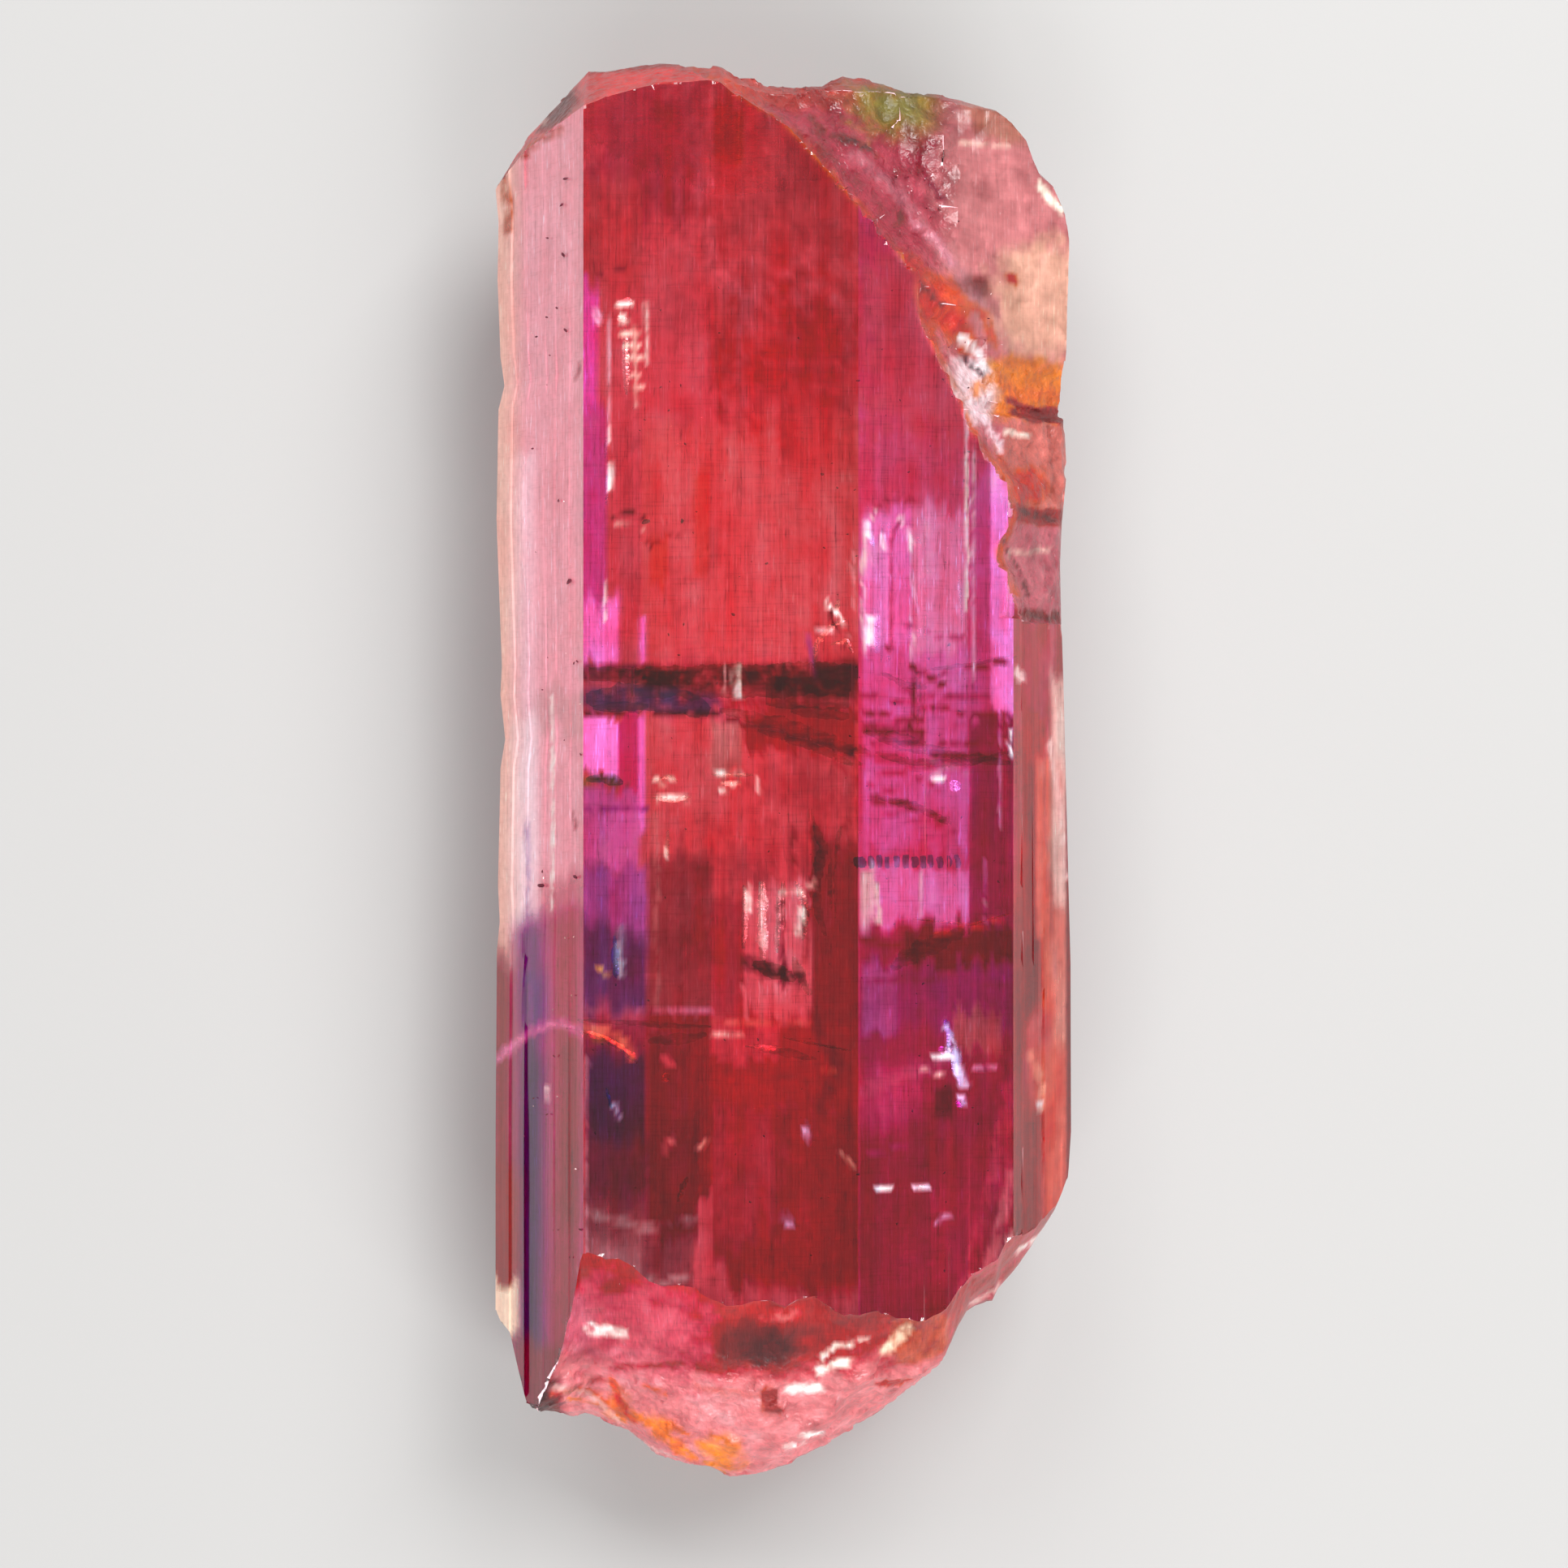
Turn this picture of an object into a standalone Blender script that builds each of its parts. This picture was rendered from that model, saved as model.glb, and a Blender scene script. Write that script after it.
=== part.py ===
"""Imperial topaz crystal: one striated prism with a bevelled point, a broken base and a chipped shoulder.

The crystal lies on one of its long faces, as a loose crystal without a foot does.
X runs across it, Y along it towards the bevelled point, and Z up from the surface it rests on.
The numbers below are millimetres. The scene is in metres.
Run it with blender --background --python part.py, or from Blender's text editor.
"""

import math
import random

import bmesh
import bpy
from mathutils import Vector, noise

MM = 0.001

# Driving dimensions
LENGTH = 34.7
WIDTH = 14.2
THICKNESS = 9.6
REST_FACE_LEFT = -1.73
REST_FACE_RIGHT = 4.6

# Cross-section, clockwise seen from the base end: corner x, corner z, and the growth steps
# on the side that starts at the corner. The side with no step between the REST_FACE
# corners is the flat one that the crystal lies on.
SECTION = (
    (-WIDTH / 2, 5.0, 5),
    (-4.74, THICKNESS - 0.25, 9),
    (1.75, THICKNESS, 6),
    (5.47, THICKNESS - 1.25, 4),
    (WIDTH / 2 - 0.07, 5.5, 0),
    (WIDTH / 2, 4.3, 4),
    (REST_FACE_RIGHT, 0.0, 0),
    (REST_FACE_LEFT, 0.0, 1),
    (-3.25, 0.55, 2),
    (-5.6, 2.1, 2),
    (-WIDTH / 2 + 0.05, 4.0, 0),
)
STEP_DEPTH = (0.02, 0.05)
STEP_RISER = 0.06
STEP_SEED = 11

# How far the two side edges stand in from their corners: place along Y, shift in X.
LEFT_EDGE = (
    (-18.5, 0.0),
    (-8.7, 0.0),
    (-4.1, 0.03),
    (-3.4, 0.1),
    (-2.5, 0.06),
    (0.4, 0.12),
    (1.1, 0.24),
    (2.2, 0.12),
    (2.9, 0.16),
    (6.5, 0.03),
    (9.2, 0.07),
    (9.8, 0.22),
    (10.5, 0.12),
    (12.4, 0.05),
    (13.8, 0.08),
    (14.7, 0.0),
    (18.5, 0.0),
)
RIGHT_EDGE = (
    (-18.5, -0.12),
    (-10.0, -0.1),
    (-8.5, 0.0),
    (-4.4, -0.01),
    (-2.5, -0.06),
    (1.7, -0.17),
    (3.9, -0.24),
    (5.4, -0.27),
    (6.5, -0.22),
    (7.7, -0.1),
    (8.9, -0.16),
    (9.8, -0.04),
    (13.4, -0.04),
    (18.5, -0.04),
)
LEFT_EDGE_REACH = (-4.74, -WIDTH / 2)
RIGHT_EDGE_REACH = (5.47, WIDTH / 2)

# Outline of the bevelled point seen from above: x, y.
POINT_OUTLINE = (
    (-8.5, 12.7),
    (-7.08, 14.75),
    (-6.6, 15.45),
    (-6.3, 15.9),
    (-5.45, 16.7),
    (-4.75, 17.3),
    (-4.3, LENGTH / 2),
    (-3.0, 17.32),
    (-1.75, 17.18),
    (-0.6, 16.95),
    (0.03, 16.92),
    (0.5, 17.1),
    (1.4, 17.34),
    (2.6, 17.2),
    (3.8, 16.95),
    (5.2, 16.65),
    (5.6, 16.4),
    (5.95, 16.0),
    (6.3, 15.15),
    (6.65, 14.8),
    (6.95, 14.1),
    (7.08, 13.4),
    (8.5, 8.0),
)
# Height of the point's ridge over the resting surface: x, z.
POINT_RIDGE = (
    (-8.5, 4.5),
    (-6.3, 5.2),
    (-4.75, 6.4),
    (-3.0, 7.6),
    (-1.5, 8.2),
    (0.0, 7.1),
    (1.4, 5.8),
    (7.0, 4.5),
    (8.5, 4.4),
)
POINT_FRONT_SLOPE = 0.44
POINT_BACK_SLOPE = 0.3

# Outline of the broken base seen from above: x, y.
BASE_OUTLINE = (
    (-8.5, -12.9),
    (-7.08, -13.0),
    (-6.95, -13.25),
    (-6.7, -13.5),
    (-6.45, -14.5),
    (-6.25, -15.3),
    (-5.95, -15.65),
    (-4.8, -15.87),
    (-4.1, -16.1),
    (-3.05, -16.8),
    (-2.1, -17.13),
    (-1.35, -LENGTH / 2),
    (-0.7, -17.3),
    (0.0, -17.12),
    (1.2, -16.5),
    (2.2, -15.85),
    (3.3, -15.0),
    (3.85, -14.5),
    (4.15, -13.75),
    (4.5, -13.15),
    (5.1, -12.75),
    (5.25, -12.4),
    (6.05, -11.55),
    (6.65, -10.7),
    (6.95, -10.0),
    (7.06, -8.9),
    (7.12, -7.5),
    (8.5, -4.0),
)
# How far the break climbs from that outline to the upper face: x, rise in Y.
BASE_RISE = (
    (-8.5, 0.2),
    (-6.4, 0.9),
    (-5.95, 1.6),
    (-4.75, 5.4),
    (-1.3, 5.6),
    (0.4, 4.9),
    (1.7, 3.8),
    (3.7, 2.5),
    (5.3, 2.0),
    (8.5, 2.6),
)
BASE_NOSE_Z = 2.5
BASE_CURVE = 2.2
BASE_UNDERCUT = 0.35
BASE_BLOW = (-5.2, 9.0)
BASE_RIPPLE = (0.1, 1.5)
BASE_ROUGHNESS = (0.28, 1.7)
BASE_LEAST_ROUGH = 0.3
# Lumps of the broken base: place in X, place in Z, radius, and how far each stands out.
BASE_LUMPS = (
    (3.6, 7.3, 0.75, 0.5),
    (1.9, 7.9, 0.5, 0.3),
    (0.6, 6.2, 0.7, 0.35),
    (-2.6, 5.2, 0.9, 0.3),
    (-5.3, 6.6, 0.5, 0.25),
    (5.4, 5.6, 0.6, 0.3),
)

# Rim of the chipped shoulder: place along Y, place in X where the break leaves the faces.
CHIP_RIM = (
    (3.95, 5.83),
    (4.87, 5.45),
    (5.5, 5.11),
    (6.48, 5.59),
    (6.95, 5.43),
    (7.4, 5.23),
    (8.1, 4.67),
    (9.08, 4.25),
    (9.7, 3.97),
    (10.4, 3.61),
    (11.1, 3.27),
    (12.15, 3.07),
    (12.8, 2.49),
    (13.8, 1.69),
    (14.75, 0.87),
    (15.65, 0.03),
    (16.4, -1.33),
    (19.0, -4.5),
)
# Height of the chip's surface where it runs out at the right side: place along Y, z.
CHIP_FLOOR = (
    (3.95, 5.2),
    (6.46, 5.0),
    (6.54, 4.7),
    (9.02, 4.55),
    (9.14, 3.9),
    (12.0, 4.2),
    (17.0, 4.5),
    (19.0, 4.5),
)
CHIP_CURVE = 0.7
CHIP_END = 3.95
CHIP_LEDGES = (6.5, 9.08)
LEDGE_GROOVE = (0.4, 0.14)
# A ridge inside the chip, between its rough part and the smooth window below: x, y.
CHIP_RIDGE = ((2.6, 12.5), (3.65, 11.7), (4.5, 11.3), (5.0, 10.7), (5.25, 9.7))
CHIP_RIDGE_SIZE = (0.4, 0.35)
# A hollow just below that ridge: place in X, place in Y, radius, depth.
CHIP_HOLLOW = (4.55, 10.25, 0.5, 0.4)
CHIP_ROUGHNESS = (0.34, 1.1)
CHIP_SMOOTH_FROM = 4.2

GRID = 0.36
CUTTER_REACH = 8.5
CLEAR_OF_CRYSTAL = 2.0
LAVENDER_ROSE = (0.72, 0.09, 0.19, 1.0)
TOPAZ_IOR = 1.62


def between(table, place):
    """The value at a place, on straight lines through a table of (place, value)."""
    if place <= table[0][0]:
        return table[0][1]
    for (low, first), (high, second) in zip(table, table[1:]):
        if place <= high:
            return first + (second - first) * (place - low) / (high - low)
    return table[-1][1]


def share(reach, place):
    """0 at the first end of a reach, 1 at the second, and clamped between."""
    start, end = reach
    return min(1.0, max(0.0, (place - start) / (end - start)))


def steps_along(length, count, spread):
    """Places of a side's growth steps, unevenly spaced and clear of its corners."""
    pitch = length / (count + 1)
    return [pitch * (i + 1) + pitch * spread.uniform(-0.32, 0.32) for i in range(count)]


def section_points():
    """The cross-section's points: long shallow treads, each ending in a short riser."""
    spread = random.Random(STEP_SEED)
    points = []
    for i, (x, z, count) in enumerate(SECTION):
        after = SECTION[(i + 1) % len(SECTION)]
        start = Vector((x, z))
        run = Vector(after[:2]) - start
        along = run.normalized()
        inward = Vector((along.y, -along.x))
        points.append(start)
        for place in steps_along(run.length, count, spread):
            depth = spread.uniform(*STEP_DEPTH)
            points.append(start + along * (place - STEP_RISER / 2))
            points.append(start + along * (place + STEP_RISER / 2) + inward * depth)
    return points


def edge_shift(x, y):
    """How far a point of the section moves in X at a place along the crystal."""
    left = share(LEFT_EDGE_REACH, x) * between(LEFT_EDGE, y)
    right = share(RIGHT_EDGE_REACH, x) * between(RIGHT_EDGE, y)
    return left + right


def closed_mesh(name, bm):
    """A mesh object from a closed bmesh, with its faces pointing out."""
    bmesh.ops.recalc_face_normals(bm, faces=bm.faces)
    mesh = bpy.data.meshes.new(name)
    bm.to_mesh(mesh)
    bm.free()
    made = bpy.data.objects.new(name, mesh)
    bpy.context.scene.collection.objects.link(made)
    return made


def prism():
    """The crystal before it broke: the stepped section drawn out along Y."""
    bm = bmesh.new()
    section = section_points()
    stations = sorted({y for y, _ in LEFT_EDGE + RIGHT_EDGE})
    rings = [
        [bm.verts.new(Vector((p.x + edge_shift(p.x, y), y, p.y)) * MM) for p in section]
        for y in stations
    ]
    for lower, upper in zip(rings, rings[1:]):
        for i in range(len(section)):
            j = (i + 1) % len(section)
            bm.faces.new((lower[i], lower[j], upper[j], upper[i]))
    bm.faces.new(rings[0])
    bm.faces.new(rings[-1])
    return closed_mesh("topaz_crystal", bm)


def grid_lines(low, high, exact=()):
    """Evenly spaced places from low to high, with the exact ones among them."""
    count = math.ceil((high - low) / GRID)
    even = [low + (high - low) * i / count for i in range(count + 1)]
    clear = [e for e in even if all(abs(e - x) > GRID / 4 for x in exact)]
    return sorted({low, high, *clear, *exact})


def height_block(name, us, vs, height, far, place):
    """A cutter: a solid between the surface height(u, v) and the flat level far."""
    bm = bmesh.new()
    near = [[bm.verts.new(place(u, v, height(u, v)) * MM) for v in vs] for u in us]
    back = [[bm.verts.new(place(u, v, far) * MM) for v in vs] for u in us]
    for sheet in (near, back):
        for i in range(len(us) - 1):
            for j in range(len(vs) - 1):
                corners = (sheet[i][j], sheet[i + 1][j], sheet[i + 1][j + 1], sheet[i][j + 1])
                bm.faces.new(corners[:3])
                bm.faces.new((corners[0], corners[2], corners[3]))
    border = [(i, 0) for i in range(len(us))]
    border += [(len(us) - 1, j) for j in range(1, len(vs))]
    border += [(i, len(vs) - 1) for i in range(len(us) - 2, -1, -1)]
    border += [(0, j) for j in range(len(vs) - 2, 0, -1)]
    for (i, j), (m, n) in zip(border, border[1:] + border[:1]):
        bm.faces.new((near[i][j], near[m][n], back[m][n], back[i][j]))
    cutter = closed_mesh(name, bm)
    cutter.hide_render = True
    cutter.display_type = "WIRE"
    return cutter


def roughness(size, a, b, c):
    """Rolling unevenness of a break: size is (height, wavelength)."""
    height, wavelength = size
    return height * noise.fractal(Vector((a, b, c)) / wavelength, 0.9, 2.1, 3)


def dome(a, b, centre_a, centre_b, radius):
    """A smooth dome of height 1 around a centre, close to 0 from twice the radius on."""
    return math.exp(-((a - centre_a) ** 2 + (b - centre_b) ** 2) / radius**2)


def point_y(x, z):
    """The bevelled point: bevels to the front and back of a ridge, along the outline."""
    over = z - between(POINT_RIDGE, x)
    slope = POINT_FRONT_SLOPE if over > 0 else -POINT_BACK_SLOPE
    return between(POINT_OUTLINE, x) - slope * over


def base_y(x, z):
    """The broken base: a nose at the back that curves up to the upper face, with ripples."""
    climb = share((BASE_NOSE_Z, THICKNESS), z) ** BASE_CURVE
    y = between(BASE_OUTLINE, x) + between(BASE_RISE, x) * climb
    y += BASE_UNDERCUT * max(0.0, BASE_NOSE_Z - z)
    ripple, wavelength = BASE_RIPPLE
    from_blow = math.hypot(x - BASE_BLOW[0], z - BASE_BLOW[1])
    y += ripple * climb * math.cos(2 * math.pi * from_blow / wavelength)
    y -= sum(size * dome(x, z, a, b, r) for a, b, r, size in BASE_LUMPS)
    return y + max(climb, BASE_LEAST_ROUGH) * roughness(BASE_ROUGHNESS, x, y, z)


def upper_face_z(x):
    """Height of the unbroken upper faces."""
    return between([(corner[0], corner[1]) for corner in SECTION[:6]], x)


def distance_to_line(x, y, line):
    """Distance from a point to a broken line of (x, y) points."""
    here = Vector((x, y))
    nearest = math.inf
    for a, b in zip(line, line[1:]):
        a, run = Vector(a), Vector(b) - Vector(a)
        along = min(1.0, max(0.0, (here - a).dot(run) / run.length_squared))
        nearest = min(nearest, (a + run * along - here).length)
    return nearest


def chip_z(x, y):
    """The chipped shoulder: it drops from its rim and flattens out towards the right side."""
    rim = between(CHIP_RIM, y)
    rim_z = upper_face_z(rim)
    if x <= rim:
        return rim_z + (rim - x)
    run_out = WIDTH / 2 - rim
    drop = rim_z - between(CHIP_FLOOR, y)
    z = rim_z - drop * min(1.3, (x - rim) / run_out) ** CHIP_CURVE
    height, width = CHIP_RIDGE_SIZE
    z += height * math.exp(-((distance_to_line(x, y, CHIP_RIDGE) / width) ** 2))
    across, along, radius, hollow = CHIP_HOLLOW
    z -= hollow * dome(x, y, across, along, radius)
    depth, half = LEDGE_GROOVE
    for ledge in CHIP_LEDGES:
        z -= depth * max(0.0, 1 - abs(y - ledge) / half) * min(1.0, x - rim)
    from_rim = min(1.0, (x - rim) / 1.2)
    rough = 1 - 0.8 * share((CHIP_SMOOTH_FROM, CHIP_SMOOTH_FROM + 0.8), x)
    return z + rough * from_rim * roughness(CHIP_ROUGHNESS, x, y, 0.0)


def cutters():
    """The three solids that take away what the crystal no longer has."""
    across = [x for x, _ in POINT_OUTLINE]
    ridge = {z for _, z in POINT_RIDGE}
    yield height_block(
        "cut_point",
        sorted({*across, *(x for x, _ in POINT_RIDGE)}),
        sorted({-CLEAR_OF_CRYSTAL, *ridge, THICKNESS + CLEAR_OF_CRYSTAL}),
        point_y,
        LENGTH / 2 + CLEAR_OF_CRYSTAL,
        lambda x, z, y: Vector((x, y, z)),
    )
    outline = tuple(x for x, _ in BASE_OUTLINE)
    yield height_block(
        "cut_base",
        grid_lines(-CUTTER_REACH, CUTTER_REACH, outline),
        grid_lines(-CLEAR_OF_CRYSTAL, THICKNESS + CLEAR_OF_CRYSTAL, (BASE_NOSE_Z,)),
        base_y,
        -LENGTH / 2 - CLEAR_OF_CRYSTAL,
        lambda x, z, y: Vector((x, y, z)),
    )
    half = LEDGE_GROOVE[1]
    exact = tuple(ledge + side for ledge in CHIP_LEDGES for side in (-half, -0.04, 0.04, half))
    yield height_block(
        "cut_chip",
        grid_lines(-5.0, CUTTER_REACH),
        grid_lines(CHIP_END, LENGTH / 2 + CLEAR_OF_CRYSTAL, exact),
        chip_z,
        THICKNESS + 2 * CLEAR_OF_CRYSTAL,
        lambda x, y, z: Vector((x, y, z)),
    )


def topaz_material():
    """Clear rose topaz."""
    material = bpy.data.materials.new("rose_topaz")
    material.use_nodes = True
    shader = material.node_tree.nodes["Principled BSDF"]
    shader.inputs["Base Color"].default_value = LAVENDER_ROSE
    shader.inputs["Roughness"].default_value = 0.08
    shader.inputs["Metallic"].default_value = 0.0
    shader.inputs["Transmission Weight"].default_value = 0.9
    shader.inputs["IOR"].default_value = TOPAZ_IOR
    return material


def main():
    for left_over in list(bpy.data.objects):
        bpy.data.objects.remove(left_over)
    crystal = prism()
    crystal.data.materials.append(topaz_material())
    for cutter in cutters():
        cut = crystal.modifiers.new(cutter.name, "BOOLEAN")
        cut.operation = "DIFFERENCE"
        cut.solver = "EXACT"
        cut.object = cutter
    flatten = crystal.modifiers.new("merge_flat_faces", "DECIMATE")
    flatten.decimate_type = "DISSOLVE"
    flatten.angle_limit = math.radians(0.2)


main()
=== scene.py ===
"""Looks of the imperial topaz crystal: a clear rose prism with frosted breaks, rust and flaws inside it.

Lengths are millimetres, in the crystal's own frame: X across it, Y along it towards the bevelled point,
and Z up from the surface it rests on. Places in WASHES and STROKES are pixels of the photograph, which
looks straight down on the crystal and is 1932 pixels square. Colours are what the eye sees from straight
above, as red, green and blue from 0 to 255. Noise is given by its wavelength, as one length or as one for
each axis, and its seed.
"""

import itertools
import math
import random

import bmesh
import bpy
import numpy as np
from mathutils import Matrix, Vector, noise


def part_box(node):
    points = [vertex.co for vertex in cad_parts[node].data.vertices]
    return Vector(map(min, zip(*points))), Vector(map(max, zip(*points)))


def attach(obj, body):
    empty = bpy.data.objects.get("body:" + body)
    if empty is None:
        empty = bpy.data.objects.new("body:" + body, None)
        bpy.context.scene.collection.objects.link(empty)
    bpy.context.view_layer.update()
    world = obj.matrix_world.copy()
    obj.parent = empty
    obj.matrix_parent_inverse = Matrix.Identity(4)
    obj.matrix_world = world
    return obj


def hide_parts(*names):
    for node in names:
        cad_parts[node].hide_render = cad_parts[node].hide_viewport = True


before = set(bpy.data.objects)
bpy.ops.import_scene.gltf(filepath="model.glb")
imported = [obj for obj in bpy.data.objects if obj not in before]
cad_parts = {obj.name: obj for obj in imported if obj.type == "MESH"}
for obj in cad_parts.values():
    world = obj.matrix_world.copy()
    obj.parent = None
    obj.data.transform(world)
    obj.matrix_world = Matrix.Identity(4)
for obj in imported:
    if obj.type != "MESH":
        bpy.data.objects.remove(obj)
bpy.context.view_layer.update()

MM = 0.001
CRYSTAL = "topaz_crystal"
TOPAZ_IOR = 1.62
ABSORBED = (0.988, 0.0, 0.42, 1.0)
ABSORPTION = 85.0

# Corners of the upper faces: places in X, and their heights.
UPPER_X = (-7.1, -4.74, 1.75, 5.47, 7.03)
UPPER_Z = (5.0, 9.35, 9.6, 8.35, 5.5)
LEFT_CORNER, RIDGE, RIGHT_CORNER = UPPER_X[1:4]
UPPER_SLACK = 0.7

# How far a direction leans up, to an end, or steeply to an end, for a face to count as one that does.
LOOKS_UP = 0.05
LEANS = 0.25
STEEP = 0.5

# The chipped shoulder: its rim as places along Y and in X, where it ends, and how far it lies below the
# unbroken faces and may reach past its rim.
CHIP_RIM_Y = (3.95, 5.5, 6.5, 7.4, 8.1, 9.7, 11.1, 12.15, 13.8, 15.65, 16.4, 19.0)
CHIP_RIM_X = (5.83, 5.11, 5.59, 5.23, 4.67, 3.97, 3.27, 3.07, 1.69, 0.03, -1.33, -4.5)
CHIP_END_Y = 3.9
CHIP_SUNK = 0.07
CHIP_RIM_SLACK = 0.12
# The smooth part of the chip, and how soon it fades out.
FROSTED_X = (4.1, 8.0)
FROSTED_Y = (10.4, 18.0)
FROSTED_FADE = 0.6
# The ledges at the lower end of the chip are worn round: beyond this place in X, between these in Y, from
# this angle on, with this many rings of points round them, by this share, and this many times.
WORN_X = 5.4
WORN_Y = (4.0, 10.2)
WORN_ANGLE = 0.35
WORN_RINGS = 2
WORN_SHARE = 0.5
WORN_TIMES = 5

# The bevels of the point lie beyond the first place and the broken base below the second. The steep right
# face ends by the third.
POINT_Y = 12
BASE_Y = -7
FAR_END_Y = -10.0
# Above this place the base is worn smooth, over this length of change.
CALM_BASE_Y = -14.3
CALM_BASE_FADE = 0.9
# How much of their relief the smooth parts of the chip and the base have lost.
WORN_AWAY = 0.9

# The unbroken upper faces from left to right, and the surfaces that are broken or weathered.
FLAT = ("left", "main", "right", "far")
STAINED = ("chip", "base", "point")

# The photograph: its middle, and how many of its pixels make a millimetre.
PHOTO_MIDDLE = (967, 966)
PHOTO_SCALE = 50

# The fine mesh: axis and spacing of the cuts, on the faces that look up and on the rest.
FINE = ((0, 0.09), (1, 0.14))
COARSE = ((0, 0.35), (2, 0.3), (1, 0.6))
SLICE_SNAP = 1e-8
# Points closer than this, in metres, are one, and faces that meet at less than this angle too.
SAME_POINT = 1e-7
SAME_PLANE = math.radians(0.15)

# Fine growth striations: their noise, and their depth.
STRIATION = ((0.17, 5.0, 0.5), 3)
STRIATION_DEPTH = 0.011
# Facets of the broken faces: size, seed and height, how deep they lie on average, how far the middle of
# one strays from its place, how far one lies above or below the next, and how deep they are at the point.
HACKLE = ((1.1, 5, 0.1), (0.55, 17, 0.055), (0.3, 29, 0.02))
HACKLE_SUNK = 0.08
HACKLE_STRAY = 0.4
HACKLE_LIFT = 0.35
POINT_HACKLE = 0.2
# Growth steps on the flat faces run out in ramps this wide, as found at this place along the crystal.
STEP_RAMP = 0.36
STEP_SAMPLE_Y = -3.0
STEP_SAMPLE_REACH = 0.25
STEP_REACH_X = (-6.3, 6.3)
STEP_GRID = 0.01
DEEPEST_STEP = 0.2
# The share of a ramp that stays on average, and the noise by which it varies.
RAMP_KEPT = 0.75
RAMP_WAVES = ((0.6, 3.0, 3.0), 71)

# How each kind of surface looks from straight above: the colour of clear crystal that has no tint, the
# light that it mirrors over any colour, and the brightness of milky white.
LOOK = {
    "left": ((0.75, 0.18, 0.275), 0.095, 0.94),
    "main": ((0.58, 0.09, 0.15), 0.022, 1.53),
    "right": ((0.54, 0.09, 0.155), 0.02, 1.38),
    "far": ((0.68, 0.22, 0.27), 0.11, 1.4),
    "point": ((0.53, 0.155, 0.22), 0.07, 1.3),
    "chip": ((0.68, 0.2, 0.26), 0.085, 1.36),
    "base": ((0.5, 0.15, 0.2), 0.09, 0.92),
    "back": ((0.70, 0.30, 0.40), 0.05, 1.05),
}
# What each kind of surface looks like where nothing else is painted: colour seen, how milky it is,
# how rough it is, and how much its colour varies in streaks along the crystal and in grains.
GROUND = {
    # The left face's pale, milky pink is painted light: the reflection of a lamp on that side, laid on as
    # milky colour.
    "left": ((238, 160, 175), 0.6, 0.15, 0.06, 0.06),
    "main": ((205, 68, 84), 0.06, 0.03, 0.2, 0.1),
    "right": ((206, 58, 104), 0.05, 0.03, 0.2, 0.1),
    "far": ((205, 105, 108), 0.35, 0.12, 0.3, 0.1),
    "point": ((205, 78, 82), 0.25, 0.3, 0.05, 0.2),
    "chip": ((198, 112, 122), 0.45, 0.32, 0.0, 0.3),
    "base": ((222, 134, 140), 0.45, 0.34, 0.0, 0.3),
    "back": ((255, 196, 208), 0.7, 0.25, 0.1, 0.08),
}


def fine_mesh():
    """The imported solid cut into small, even faces, as a bmesh."""
    bm = bmesh.new()
    bm.from_mesh(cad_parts[CRYSTAL].data)
    bmesh.ops.remove_doubles(bm, verts=bm.verts, dist=SAME_POINT)
    bmesh.ops.dissolve_limit(bm, angle_limit=SAME_PLANE, verts=bm.verts, edges=bm.edges)
    low, high = (np.array(corner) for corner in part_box(CRYSTAL))
    for cuts, above in ((FINE, True), (COARSE, False)):
        for axis, spacing in cuts:
            step = spacing * MM * 1
            levels = list(np.arange(low[axis] + step, high[axis] - step / 2, step))
            cut(bm, [f for f in bm.faces if (f.normal.z > LOOKS_UP) == above], axis, levels)
    bmesh.ops.triangulate(bm, faces=[f for f in bm.faces if len(f.verts) > 4])
    return bm


def cut(bm, faces, axis, levels):
    """Cuts faces at every level of an axis, halving the levels each time."""
    if not levels or not faces:
        return
    middle = len(levels) // 2
    level = levels[middle]
    below, above, crossing = [], [], []
    for face in faces:
        reach = [v.co[axis] for v in face.verts]
        if max(reach) <= level + SLICE_SNAP:
            below.append(face)
        elif min(reach) >= level - SLICE_SNAP:
            above.append(face)
        else:
            crossing.append(face)
    if crossing:
        parts = {v for f in crossing for v in f.verts} | {e for f in crossing for e in f.edges}
        normal = Vector((0, 0, 0))
        normal[axis] = 1
        made = bmesh.ops.bisect_plane(
            bm, geom=[*parts, *crossing], dist=SLICE_SNAP, plane_co=normal * level, plane_no=normal
        )
        for face in (new for new in made["geom"] if isinstance(new, bmesh.types.BMFace)):
            (below if face.calc_center_median()[axis] < level else above).append(face)
    cut(bm, below, axis, levels[:middle])
    cut(bm, above, axis, levels[middle + 1 :])


# Large primes that turn a place and a seed into a number without a pattern.
PLACE_PRIMES = (73856093, 19349663, 83492791)
SEED_FACTOR = 40503
MIXING_PRIME = 2246822519


def hashed(cell, seed):
    """A fixed value from -1 to 1 for each whole-numbered place."""
    mixed = np.bitwise_xor.reduce(cell * np.array(PLACE_PRIMES), axis=1)
    mixed = (mixed + seed * SEED_FACTOR) & 0xFFFFFFFF
    for _ in range(2):
        mixed = ((mixed ^ (mixed >> 15)) * MIXING_PRIME) & 0xFFFFFFFF
    return (mixed >> 8) / float(0xFFFFFF) * 2 - 1


def eased(share):
    """A share from 0 to 1, with a gentle start and end."""
    return share * share * (3 - 2 * share)


def rolling(at, wavelength, seed):
    """Smooth noise from -1 to 1 at points."""
    scaled = at / np.asarray(wavelength)
    cell = np.floor(scaled).astype(np.int64)
    part = eased(scaled - cell)
    total = np.zeros(len(at))
    for corner in itertools.product((0, 1), repeat=3):
        weight = np.prod(np.where(corner, part, 1 - part), axis=1)
        total += weight * hashed(cell + np.array(corner), seed)
    return total


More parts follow.
